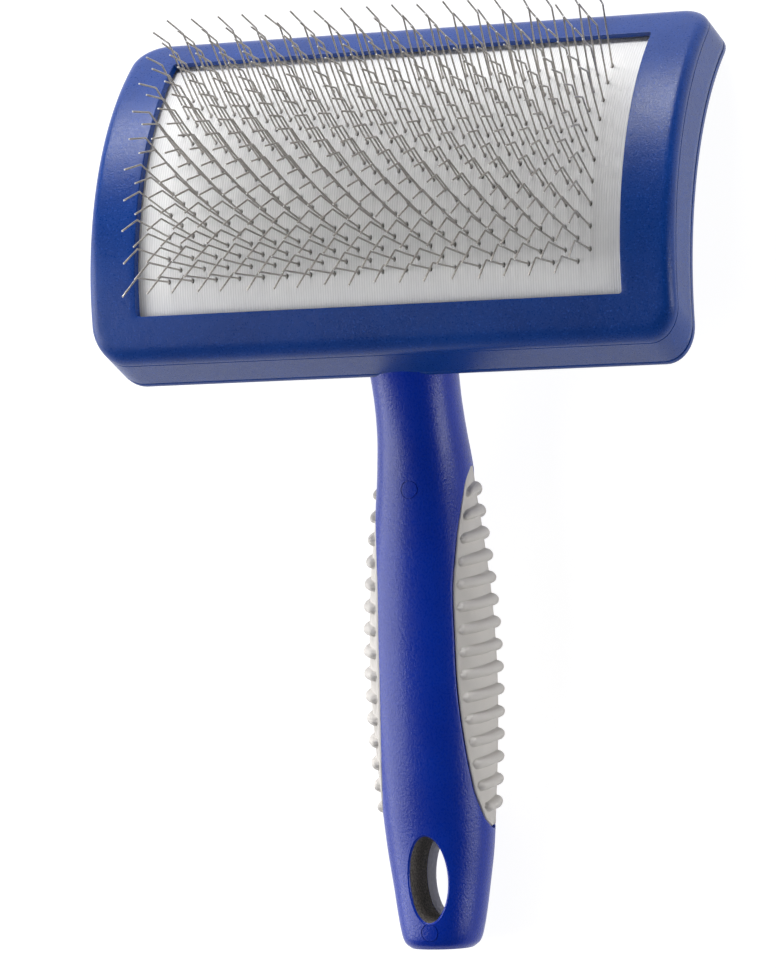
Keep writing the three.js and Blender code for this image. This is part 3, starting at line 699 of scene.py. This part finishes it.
def screw_well_cutter(station):
    radius = SCREW_HEAD_RADIUS + 0.3
    surface = float(skin_height(0, station, -1))
    profile = [(radius + 0.5, surface - 3), (radius + 0.5, surface)]
    profile += [(radius, surface + 0.5), (radius, rear_seat(station))]
    return turned("screw_well_cutter", station, profile)


def handle_front():
    stations = shell_stations(NECK_SEAM + FIT_GAP)
    shell = ring_solid("handle_front", shell_rings(1, stations))
    return cut(shell, [hang_hole_cutter()] + [witness_cutter(s) for s in SCREW_STATIONS])


def rear_shell_and_root():
    rings = root_rings() + shell_rings(-1, shell_stations(NECK_SEAM))
    shell = ring_solid("neck_and_rear_shell", rings)
    return cut(shell, [hang_hole_cutter()] + [screw_well_cutter(s) for s in SCREW_STATIONS])


def screw(station):
    """A cross-recessed screw: domed head and plain shank."""
    seat = rear_seat(station) - 0.1
    top = seat - SCREW_HEAD_HEIGHT
    radius = SCREW_HEAD_RADIUS
    shoulder = top + 0.08
    profile = [(0.05, top - 0.12), (radius * 0.5, top - 0.08), (radius * 0.8, shoulder)]
    for turn in arc(5)[1:]:
        rounded = radius * 0.8 + radius * 0.2 * math.sin(turn)
        profile.append((rounded, shoulder + 0.4 * (1 - math.cos(turn))))
    profile += [(radius, seat), (SCREW_SHANK_RADIUS, seat)]
    profile += [(SCREW_SHANK_RADIUS, PARTING_OFFSET + 2), (0.05, PARTING_OFFSET + 3)]
    head = turned("screw", station, profile)

    def bar(half_width, half_length):
        corners = np.array(SQUARE)
        levels = [(top - 0.6, 1.0), (top + 0.2, 1.0), (top + 1.0, 0.62)]
        made = []
        for level, share in levels:
            x = corners[:, 0] * half_width * share
            s = station + corners[:, 1] * half_length * share
            made.append(from_handle(x, level, s))
        return ring_solid("recess", made)

    thin, long = RECESS_HALF_WIDTH, RECESS_HALF_LENGTH
    return cut(head, [bar(thin, long), bar(long, thin)])


def grip_rib(s, from_edge, reach):
    """Height of the rubber over the skin: rounded ribs that swell from the cover's edge to the side."""
    middle = np.clip(np.round(s / RIB_PITCH), 0, RIB_COUNT - 1) * RIB_PITCH
    along = np.abs(s - middle)
    grown = np.clip((from_edge - RIB_EDGE_DISTANCE) / np.maximum(reach - RIB_EDGE_DISTANCE, 0.1), 0, 1)
    half = RIB_HALF_THICKNESS * (0.82 + 0.18 * grown**0.6)
    nose = np.clip(RIB_EDGE_DISTANCE + half - from_edge, 0, None)
    away = np.hypot(along, nose) / half
    dome = np.sqrt(np.clip(1 - away**2, 0, 1))
    # The dome ends in a small fillet that runs out on the skin.
    skirt = RIB_FOOT_HEIGHT * np.clip(1 - (away - RIB_FOOT) / RIB_FOOT_LENGTH, 0, 1) ** 2
    profile = np.where(away < RIB_FOOT, dome, skirt)
    height = RIB_HEIGHT * (0.7 + 0.3 * np.sqrt(grown))
    return height * profile


def grip_piece(name, side, face):
    """Half of one grip: a rubber skin with ribs that fills the pocket from its edge to the parting line."""
    edge_radius = 0.3
    stations = np.linspace(GRIP_START + GRIP_END_GAP, GRIP_END - GRIP_END_GAP, 460)
    columns = 36
    outer, inner = [], []
    for s in stations:
        whole = Quarter(float(s), face)
        reach = whole.length_at(float(grip_edge_angle(s + GRIP_SLANT, face)))
        shares = np.linspace(0, 1, columns + 1)
        low = SHELL_GAP * 1.2
        high = max(reach - GRIP_EDGE_GAP, low + 0.12)
        places = low + (high - low) * shares
        from_edge = reach - places
        lift = grip_rib(s, from_edge, reach) - 0.1
        lift -= round_off(np.minimum(places - low, high - places), edge_radius)
        lift -= round_off(min(s - stations[0], stations[-1] - s), edge_radius)
        slant = GRIP_SLANT * places / max(reach, 1.0)
        outer.append(grip_row(whole, s, slant, places, lift, side))
        inner.append(grip_row(whole, s, slant, places, np.full_like(lift, 0.25 - GRIP_DEPTH), side))
    rows = len(stations)
    width = columns + 1
    points = np.vstack([np.vstack(outer), np.vstack(inner)])
    count = rows * width
    faces = grid_faces(rows, width) + grid_faces(rows, width, first=count)
    border = grid_border(rows, width)
    faces += band_faces(border, [v + count for v in border])
    return make_mesh(name, points, faces, sharp_deg=50)


def grip_row(quarter, s, slant, places, lift, side):
    """One line of the grip across the skin, leaning along the handle as it nears the cover."""
    flat = quarter.point(places, lift)
    return from_handle(side * flat[:, 0], flat[:, 1], s + slant)


# ---------- pad


def on_pad(x, angle, radius):
    """Points over the pad, from the place along a row, the angle round the head and the radius."""
    x, angle, radius = np.broadcast_arrays(x, angle, radius)
    return from_head(np.stack([x, radius * np.sin(angle), radius * np.cos(angle)], axis=-1))


TILE_STEPS = 4


def pad_lines():
    """Grid lines of the pad: fine tiles round the pins, and a margin on each side."""
    half_pitch = PIN_PITCH / 2
    tiles_x = half_pitch * np.linspace(-PINS_PER_ROW, PINS_PER_ROW, 2 * PINS_PER_ROW * TILE_STEPS + 1)
    margin_x = np.linspace(tiles_x[-1], PAD_HALF_WIDTH, 12)[1:]
    half_rows = len(ROW_ANGLES) / 2
    tiles_a = ROW_STEP * np.linspace(-half_rows, half_rows, len(ROW_ANGLES) * TILE_STEPS + 1)
    tiles_a += math.radians(ROW_OFFSET_DEG)
    edge = math.radians(PAD_HALF_ANGLE)
    lines_x = np.concatenate([-margin_x[::-1], tiles_x, margin_x])
    margin_low = np.linspace(-edge, tiles_a[0], 15)[:-1]
    margin_high = np.linspace(tiles_a[-1], edge, 15)[1:]
    lines_a = np.concatenate([margin_low, tiles_a, margin_high])
    return lines_x, lines_a, len(margin_x), len(margin_low)


def row_shift(row):
    return PIN_PITCH / 4 if row % 2 == 0 else -PIN_PITCH / 4


def pin_places(row):
    """Places of a row's pins along X."""
    return (np.arange(PINS_PER_ROW) - (PINS_PER_ROW - 1) / 2) * PIN_PITCH + row_shift(row)


def pad_sheet():
    """The woven face of the pad, drawn in to a small slit round each pin."""
    lines_x, lines_a, margin_x, margin_a = pad_lines()
    rows, columns = len(lines_a), len(lines_x)
    grid_x, grid_a = np.meshgrid(lines_x, lines_a)
    points, faces = [], []
    for level in (SHEET_RADIUS, SHEET_RADIUS - SHEET_THICKNESS):
        points.append(on_pad(grid_x, grid_a, level).reshape(-1, 3))
    count = rows * columns
    pierced = []
    half_rows = len(ROW_ANGLES) / 2
    for row, angle in enumerate(ROW_ANGLES):
        place = (angle - math.radians(ROW_OFFSET_DEG)) / ROW_STEP
        first_row = margin_a + int(round(place - 0.5 + half_rows)) * TILE_STEPS
        for x in pin_places(row):
            first_column = margin_x + int(round(x / (PIN_PITCH / 2) - 0.5 + PINS_PER_ROW)) * TILE_STEPS
            pierced.append((first_row, first_column, float(x), float(angle)))
    tile = [(r, c) for r in range(TILE_STEPS) for c in range(TILE_STEPS)]
    covered = {(row + r, column + c) for row, column, _, _ in pierced for r, c in tile}
    for r in range(rows - 1):
        for c in range(columns - 1):
            if (r, c) in covered:
                continue
            here = r * columns + c
            quad = (here, here + 1, here + columns + 1, here + columns)
            faces.append(quad)
            faces.append(tuple(v + count for v in quad))
    border = grid_border(rows, columns)
    faces += band_faces(border, [v + count for v in border])
    points = np.vstack(points)
    extra = []
    total = len(points)
    # Across the slit, along the slit (mm) and depth under the face, from the surface inwards.
    slit = [(0.9, 1.1, 0.01), (0.55, 0.86, 0.05), (0.42, 0.74, 0.16), (0.36, 0.68, 0.4), (0.34, 0.62, 0.9)]
    slit += [(0.34, 0.54, SHEET_THICKNESS - 0.05), (0.6, 0.7, SHEET_THICKNESS)]
    ring_rows, ring_columns = np.divmod(grid_border(TILE_STEPS + 1, TILE_STEPS + 1), TILE_STEPS + 1)
    for first_row, first_column, x, angle in sorted(pierced):
        outside = ((first_row + ring_rows) * columns + first_column + ring_columns).tolist()
        rise = (lines_a[first_row + ring_rows] - angle) * SHEET_RADIUS
        turns = np.arctan2(rise, lines_x[first_column + ring_columns] - x)
        loops = [outside]
        for across, along, depth in slit:
            place_x = x + across * np.cos(turns)
            place_a = angle + along * np.sin(turns) / SHEET_RADIUS
            extra.append(on_pad(place_x, place_a, SHEET_RADIUS - depth))
            loops.append(list(range(total, total + len(turns))))
            total += len(turns)
        loops.append([v + count for v in outside])
        for upper, lower in zip(loops, loops[1:]):
            faces += band_faces(upper, lower)
    return make_mesh("pad_sheet", np.vstack([points, *extra]), faces, sharp_deg=60)


# ---------- pins


def wire_path(rng):
    """Lift and lean of one bent wire, from under the pad to its cut tip."""
    bend = math.radians(PIN_BEND_DEG + rng.uniform(-1.6, 1.6))
    radius = PIN_BEND_RADIUS
    cut_back = radius * math.tan(bend / 2)
    knee = SHEET_RADIUS + PIN_SHANK + rng.uniform(-0.15, 0.15)
    path = [(PIVOT_RADIUS - 0.2, 0.0, 0.0), (SHEET_RADIUS, 0.0, 0.0)]
    for turn in np.linspace(0, bend, 7):
        path.append((knee - cut_back + radius * math.sin(turn), radius * (1 - math.cos(turn)), turn))
    length = PIN_TIP - cut_back + rng.uniform(-0.2, 0.1)
    lift, lean, _ = path[-1]
    for reach in (length - 0.06, length):
        path.append((lift + reach * math.cos(bend), lean + reach * math.sin(bend), bend))
    return path


def pin_row(row, rng):
    """All the wires of one row, each a round tube with a bend and a cut end."""
    sides = 10
    around = circle(sides)
    angle = float(ROW_ANGLES[row])
    points, faces, tips = [], [], []
    for x in pin_places(row):
        path = wire_path(rng)
        lean_deg = PIN_SIDE_LEAN_DEG + PIN_SPLAY_DEG * (x - row_shift(row)) / ROW_HALF_LENGTH
        side_lean = math.radians(lean_deg + rng.uniform(-0.9, 0.9))
        twist = math.radians(rng.uniform(-2.5, 2.5))
        first = len(points)
        for k, (lift, lean, turn) in enumerate(path):
            radius = WIRE_RADIUS * (0.8 if k == len(path) - 1 else 1.0)
            across = radius * np.cos(around)
            out = radius * np.sin(around)
            local_x = across + lean * math.sin(twist) + max(lift - SHEET_RADIUS, 0.0) * math.tan(side_lean)
            local_y = -lean * math.cos(twist) - out * math.cos(turn)
            local_z = lift - out * math.sin(turn)
            y = local_y * math.cos(angle) + local_z * math.sin(angle)
            z = local_z * math.cos(angle) - local_y * math.sin(angle)
            points += list(np.column_stack([x + local_x, y, z]))
        faces += grid_faces(len(path), sides, first=first, close_columns=True)
        faces.append(tuple(range(first, first + sides)))
        tips.append(len(faces))
        faces.append(tuple(range(len(points) - sides, len(points))))
    mesh = bpy.data.meshes.new(f"pins_{row + 1:02d}")
    mesh.from_pydata(from_head(np.array(points)).tolist(), [], faces)
    # The cut ends take the second material, near-white with a painted glint.
    for tip in tips:
        mesh.polygons[tip].material_index = 1
    return finish_mesh(mesh, 40)


# ---------- materials


class Nodes:
    """The node tree of a material or a world, with short ways to add and join nodes."""

    def __init__(self, owner):
        owner.use_nodes = True
        self.tree = owner.node_tree
        self.where = self.add("ShaderNodeTexCoord").outputs

    def add(self, kind, **values):
        node = self.tree.nodes.new(kind)
        for name, value in values.items():
            if name in node.inputs:
                node.inputs[name].default_value = value
            else:
                setattr(node, name, value)
        return node

    def join(self, source, node, socket):
        self.tree.links.new(source, node.inputs[socket])

    def noise(self, size_mm, detail=2.0, roughness=0.5, stretch=(1, 1, 1)):
        """Noise whose spots are about size_mm across."""
        place = self.add("ShaderNodeMapping", Scale=[k / (size_mm * MM) for k in stretch])
        self.join(self.where["Object"], place, "Vector")
        node = self.add("ShaderNodeTexNoise", Scale=1.0, Detail=detail, Roughness=roughness)
        self.join(place.outputs["Vector"], node, "Vector")
        return node.outputs["Fac"]

    def greys(self, source, stops):
        """Grey levels between stops, each a place on the ramp and its level."""
        node = self.add("ShaderNodeValToRGB")
        while len(node.color_ramp.elements) < len(stops):
            node.color_ramp.elements.new(0.5)
        for element, (place, level) in zip(node.color_ramp.elements, stops):
            element.position = place
            element.color = (level, level, level, 1)
        self.join(source, node, "Fac")
        return node.outputs["Color"]

    def remap(self, source, low=0.3, high=0.7, to_low=0.0, to_high=1.0):
        values = {"From Min": low, "From Max": high, "To Min": to_low, "To Max": to_high}
        node = self.add("ShaderNodeMapRange", **values)
        self.join(source, node, "Value")
        return node.outputs["Result"]

    def mix(self, share, first, second):
        node = self.add("ShaderNodeMix", data_type="RGBA")
        self.join(share, node, 0)
        for socket, value in ((6, first), (7, second)):
            if isinstance(value, tuple):
                node.inputs[socket].default_value = (*value, 1)
            else:
                self.tree.links.new(value, node.inputs[socket])
        return node.outputs[2]

    def bump(self, source, height_mm, after=None):
        node = self.add("ShaderNodeBump", Strength=1.0, Distance=height_mm * MM)
        self.join(source, node, "Height")
        if after is not None:
            self.join(after, node, "Normal")
        return node.outputs["Normal"]

    def cloudy(self, size_mm, detail, first, second):
        """A colour that drifts between two, in soft patches about size_mm across."""
        return self.mix(self.remap(self.noise(size_mm, detail=detail)), first, second)


class Surface(Nodes):
    """A new material, with short ways to vary its shader from place to place."""

    def __init__(self, name):
        self.material = bpy.data.materials.new(name)
        super().__init__(self.material)
        self.shader = self.tree.nodes["Principled BSDF"]

    def colour(self, source):
        self.join(source, self.shader, "Base Color")

    def rough(self, source, smooth, matt, start=0.3, end=0.7):
        self.join(self.remap(source, start, end, smooth, matt), self.shader, "Roughness")

    def normal(self, source):
        self.join(source, self.shader, "Normal")


BLUE_SPECULAR = 0.34


def plastic(name, base, light, grain_mm, grain_height, rough_low, rough_high):
    """Moulded plastic with a fine spark-eroded grain, slight cloudiness and painted glints on the grain's tops."""
    n = Surface(name)
    grain = n.noise(grain_mm, detail=3, roughness=0.6)
    # Painted highlights: where the grain stands highest, as its bump, the colour turns much lighter, as glints of
    # light on it.
    grain_glint_colour = tuple(0.006 + 1.9 * k for k in light)
    n.colour(n.mix(n.remap(grain, 0.58, 0.7, 0.0, 0.7), n.cloudy(14, 3, base, light), grain_glint_colour))
    n.rough(grain, rough_low, rough_high, 0.35, 0.65)
    wide = n.bump(n.noise(grain_mm * 5, detail=2), grain_height * 0.8)
    n.normal(n.bump(grain, grain_height, after=wide))
    n.shader.inputs["Specular IOR Level"].default_value = BLUE_SPECULAR
    return n.material


def leather_plastic(name, base, light):
    """The handle's plastic: the same blue with a pebbled grain that is longer than it is wide."""
    n = Surface(name)
    n.colour(n.cloudy(16, 3, base, light))
    pebbles = n.noise(0.5, detail=2, roughness=0.5, stretch=(1.0, 0.7, 1.0))
    n.rough(pebbles, 0.24, 0.36, 0.35, 0.65)
    n.normal(n.bump(pebbles, 0.075))
    n.shader.inputs["Specular IOR Level"].default_value = BLUE_SPECULAR
    return n.material


def soft_rubber():
    n = Surface("soft_rubber")
    n.colour(n.cloudy(9, 4, (0.6, 0.575, 0.55), (0.645, 0.62, 0.595)))
    fine = n.noise(0.22, detail=2)
    n.rough(fine, 0.52, 0.66)
    n.normal(n.bump(fine, 0.012))
    n.shader.inputs["Specular IOR Level"].default_value = 0.4
    return n.material


CORD_WIDTH = 0.7


def pad_cloth():
    """Pale cloth with a fine cord along the head's height, with painted shade between the cords."""
    n = Surface("pad_cloth")
    cords = n.add("ShaderNodeTexWave", wave_type="BANDS", bands_direction="X", wave_profile="SIN")
    # The wave node turns once in 2 pi / (20 * scale).
    cords.inputs["Scale"].default_value = 2 * math.pi / (CORD_WIDTH * MM) / 20
    n.join(n.where["Object"], cords, "Vector")
    thread = n.noise(0.35, detail=2, stretch=(1.0, 0.12, 0.12))
    tone = n.cloudy(11, 3, (0.79, 0.79, 0.8), (0.84, 0.84, 0.84))
    # Painted shade: the colour turns grey in the low part of each cord's wave, where its relief sinks between the
    # cords.
    dark = n.mix(n.remap(cords.outputs["Fac"], 0.0, 0.5, 0.3, 0.0), tone, (0.45, 0.45, 0.46))
    n.colour(n.mix(n.remap(thread, 0.45, 0.7, 0.0, 0.1), dark, (0.5, 0.5, 0.5)))
    n.rough(thread, 0.7, 0.85)
    cord_normal = n.bump(cords.outputs["Fac"], 0.05)
    n.normal(n.bump(thread, 0.03, after=cord_normal))
    n.shader.inputs["Specular IOR Level"].default_value = 0.3
    n.shader.inputs["Sheen Weight"].default_value = 0.15
    return n.material


def grained(name, tones, noise, roughness, metallic=0.0, bump_mm=0.0, tone_range=(0.3, 0.7)):
    """A surface whose tone, roughness and relief follow one noise: steel, foam, board, and the hang hole's walls
    with painted shade and painted light.
    """
    n = Surface(name)
    grain = n.noise(*noise)
    n.colour(n.mix(n.remap(grain, *tone_range), *tones))
    n.rough(grain, *roughness)
    if bump_mm:
        n.normal(n.bump(grain, bump_mm))
    n.shader.inputs["Metallic"].default_value = metallic
    return n.material


def cellular(name, dark, pale, cell_mm):
    return grained(name, (dark, pale), (cell_mm, 3), (0.75, 0.9), bump_mm=0.08, tone_range=(0.35, 0.65))


HEAD_BLUE = plastic(
    "head_plastic",
    base=(0.0005, 0.031, 0.195),
    light=(0.001, 0.039, 0.235),
    grain_mm=0.48,
    grain_height=0.055,
    rough_low=0.26,
    rough_high=0.42,
)
HANDLE_BLUE = leather_plastic("handle_plastic", (0.0004, 0.021, 0.3), (0.0008, 0.027, 0.34))
# The hang hole's walls: painted shade, a near-black copy for the front shell's wall, and painted light, a pale
# copy for the rear shell's wall.
HOLE_WALL_PAINTED_SHADE = cellular("painted_shade_hole_wall", (0.03, 0.027, 0.024), (0.19, 0.17, 0.155), 0.6)
HOLE_WALL_PAINTED_LIGHT = cellular("painted_light_hole_wall", (0.74, 0.74, 0.8), (0.84, 0.84, 0.9), 0.9)
RUBBER = soft_rubber()
CLOTH = pad_cloth()
WIRE = grained(
    "steel_wire", ((0.33, 0.31, 0.285), (0.5, 0.475, 0.445)), (0.5, 3, 0.5, (1, 1, 0.15)), (0.3, 0.45), 1.0
)
# Cut wire ends: near-white, partly the bright fresh-cut steel and partly a painted glint of light on each tip.
CUT_TIP_PAINTED_GLINT = grained(
    "cut_steel_painted_glint", ((0.93, 0.93, 0.92), (0.97, 0.97, 0.96)), (0.1,), (0.3, 0.5), 0.6, tone_range=(0, 1)
)
PLATED = grained(
    "plated_steel", ((0.42, 0.42, 0.43), (0.58, 0.58, 0.6)), (0.4, 3), (0.25, 0.42), 1.0, 0.01, (0, 1)
)
FOAM = cellular("foam", (0.5, 0.48, 0.44), (0.66, 0.64, 0.6), 0.6)
BOARD = cellular("board", (0.4, 0.37, 0.31), (0.5, 0.47, 0.4), 1.5)


# ---------- the brush


# A face of the hang hole's wall lies within this share of its oval and is this near to upright.
WALL_REACH = 1.04
WALL_SLOPE = 0.35


def paint_light_and_shade_on_hang_hole_wall(piece, material):
    """Gives the hang hole's wall its own material, a flat colour painted with the light or shade that falls in the
    hole.
    """
    piece.data.materials.append(material)
    for polygon in piece.data.polygons:
        away = np.array(polygon.center)[1:] / MM - HANDLE_ORIGIN[1:]
        along = float(away @ HANDLE_ALONG[1:]) - HANG_HOLE
        across = polygon.center[0] / MM
        reach = math.hypot(across / HANG_HOLE_HALF_WIDTH, along / HANG_HOLE_HALF_LENGTH)
        slope = abs(float(np.array(polygon.normal)[1:] @ HANDLE_FRONT[1:]))
        if reach < WALL_REACH and slope < WALL_SLOPE:
            polygon.material_index = 1


add_piece("frame_of_head", head_frame(), HEAD_BLUE, "brush", "blue_plastic", "head_frame")
add_piece("back_plate", back_plate(), HEAD_BLUE, "brush", "blue_plastic", "back_body")
rear_shell = add_piece(
    "neck_and_rear_shell", rear_shell_and_root(), HANDLE_BLUE, "brush", "blue_plastic", "back_body"
)
front_shell = add_piece(
    "front_shell", handle_front(), HANDLE_BLUE, "brush", "blue_plastic", "handle_front"
)
# Painted light on the rear shell's hole wall, painted shade on the front shell's hole wall.
paint_light_and_shade_on_hang_hole_wall(rear_shell, HOLE_WALL_PAINTED_LIGHT)
paint_light_and_shade_on_hang_hole_wall(front_shell, HOLE_WALL_PAINTED_SHADE)
for side_name, side in (("right", 1), ("left", -1)):
    for face_name, face in (("front", 1), ("rear", -1)):
        half = f"{side_name}_{face_name}"
        node = f"grip_{half}"
        add_piece(f"rubber_{half}", grip_piece(node, side, face), RUBBER, "brush", "grey_rubber", node)
for node, station in zip(("screw_neck", "screw_end"), SCREW_STATIONS):
    add_piece(f"{node}_detail", screw(station), PLATED, "brush", "screw_steel", node)
add_piece("pad_face", pad_sheet(), CLOTH, "brush", "pad_fabric", "pad_sheet")
for node, material in (("pad_cushion", FOAM), ("pad_backing", BOARD)):
    frame["nodes"][node].data.materials.clear()
    frame["nodes"][node].data.materials.append(material)

rng = random.Random(7)
for row in range(len(ROW_ANGLES)):
    number = f"{row + 1:02d}"
    body, node = f"row_{number}", f"pin_row_{number}"
    pins = add_piece(f"pins_{number}", pin_row(row, rng), WIRE, body, "pin_steel", node)
    pins.data.materials.append(CUT_TIP_PAINTED_GLINT)

# ---------- floor, light and camera

# The floor is white by FLOOR_GLOW, and this share of its lit colour shows the shadow.
FLOOR_GLOW = 0.92
FLOOR_SHADOW_SHARE = 0.3
FLOOR_HALF_WIDTH = 6.0
FLOOR_GAP = 0.0002
LIGHT_AIM = Vector((0, 0, 0.02))


def white_to_the_eye(name, colour):
    """A matt floor: plain white to the eye and in reflections, with the brush's own soft shadow kept."""
    n = Surface(name)
    grain = n.noise(40, detail=2)
    n.colour(n.mix(grain, colour, tuple(min(1.0, k * 1.02) for k in colour)))
    n.shader.inputs["Roughness"].default_value = 0.9
    n.shader.inputs["Specular IOR Level"].default_value = 0.1
    glow = n.add("ShaderNodeEmission", Strength=FLOOR_GLOW)
    shaded = n.add("ShaderNodeMixShader", Fac=1 - FLOOR_SHADOW_SHARE)
    n.join(n.shader.outputs[0], shaded, 1)
    seen = n.add("ShaderNodeAddShader")
    n.join(shaded.outputs[0], seen, 0)
    n.join(glow.outputs[0], seen, 1)
    rays = n.add("ShaderNodeLightPath").outputs
    to_eye = rays["Is Camera Ray"]
    for kind in ("Is Glossy Ray", "Is Transmission Ray"):
        either = n.add("ShaderNodeMath", operation="MAXIMUM")
        n.join(to_eye, either, 0)
        n.join(rays[kind], either, 1)
        to_eye = either.outputs[0]
    chosen = n.add("ShaderNodeMixShader")
    n.join(to_eye, chosen, 0)
    n.join(n.shader.outputs[0], chosen, 1)
    n.join(seen.outputs[0], chosen, 2)
    n.join(chosen.outputs[0], n.tree.nodes["Material Output"], "Surface")
    return n.material


def add_floor():
    mesh = bpy.data.meshes.new("floor")
    corners = [(x * FLOOR_HALF_WIDTH, y * FLOOR_HALF_WIDTH, 0) for x, y in SQUARE]
    mesh.from_pydata(corners, [], [(0, 1, 2, 3)])
    floor = add_object("floor", mesh, white_to_the_eye("floor_white", (0.9, 0.9, 0.9)))
    floor.location.z = -FLOOR_GAP


def add_area(name, place, size, power):
    """A window of light that faces the brush."""
    data = bpy.data.lights.new(name, "AREA")
    data.shape = "RECTANGLE"
    data.size, data.size_y = size
    data.energy = power
    light = add_object(name, data)
    light.location = place
    light.rotation_euler = (LIGHT_AIM - Vector(place)).to_track_quat("-Z", "Y").to_euler()


def add_camera():
    place = Vector((0.55891, -0.06162, 1.37809))
    back = Vector((0.386176, -0.042039, 0.921467)).normalized()
    up_hint = Vector((0.03219, 0.998967, 0.032084))
    right = up_hint.cross(back).normalized()
    up = back.cross(right)
    data = bpy.data.cameras.new("camera")
    data.sensor_width = 36.0
    data.lens = 204.545
    data.clip_start = 0.05
    data.clip_end = 20.0
    camera = add_object("camera", data)
    camera.matrix_world = Matrix((right, up, back)).transposed().to_4x4()
    camera.location = place
    bpy.context.scene.camera = camera


def set_world():
    """A pale studio: bright all round at the floor's level and dim overhead, and white to the eye."""
    world = bpy.data.worlds.new("studio")
    n = Nodes(world)
    split = n.add("ShaderNodeSeparateXYZ")
    n.join(n.where["Generated"], split, 0)
    light = n.greys(split.outputs["Z"], [(0.0, 0.45), (0.2, 0.28), (0.5, 0.09), (0.85, 0.05)])
    rays = n.add("ShaderNodeLightPath")
    background = n.tree.nodes["Background"]
    n.join(n.mix(rays.outputs["Is Camera Ray"], light, (1, 1, 1)), background, "Color")
    background.inputs["Strength"].default_value = 1.0
    bpy.context.scene.world = world


add_floor()
add_camera()
set_world()
add_area("left_window", (-1.15, -0.1, 0.5), (0.8, 1.6), 20)
add_area("right_window", (1.25, -0.2, 0.28), (0.5, 1.2), 10)
add_area("top_bank", (-0.35, 1.25, 0.55), (1.1, 0.4), 20)
bpy.context.scene.view_settings.view_transform = "Standard"

bpy.context.view_layer.update()
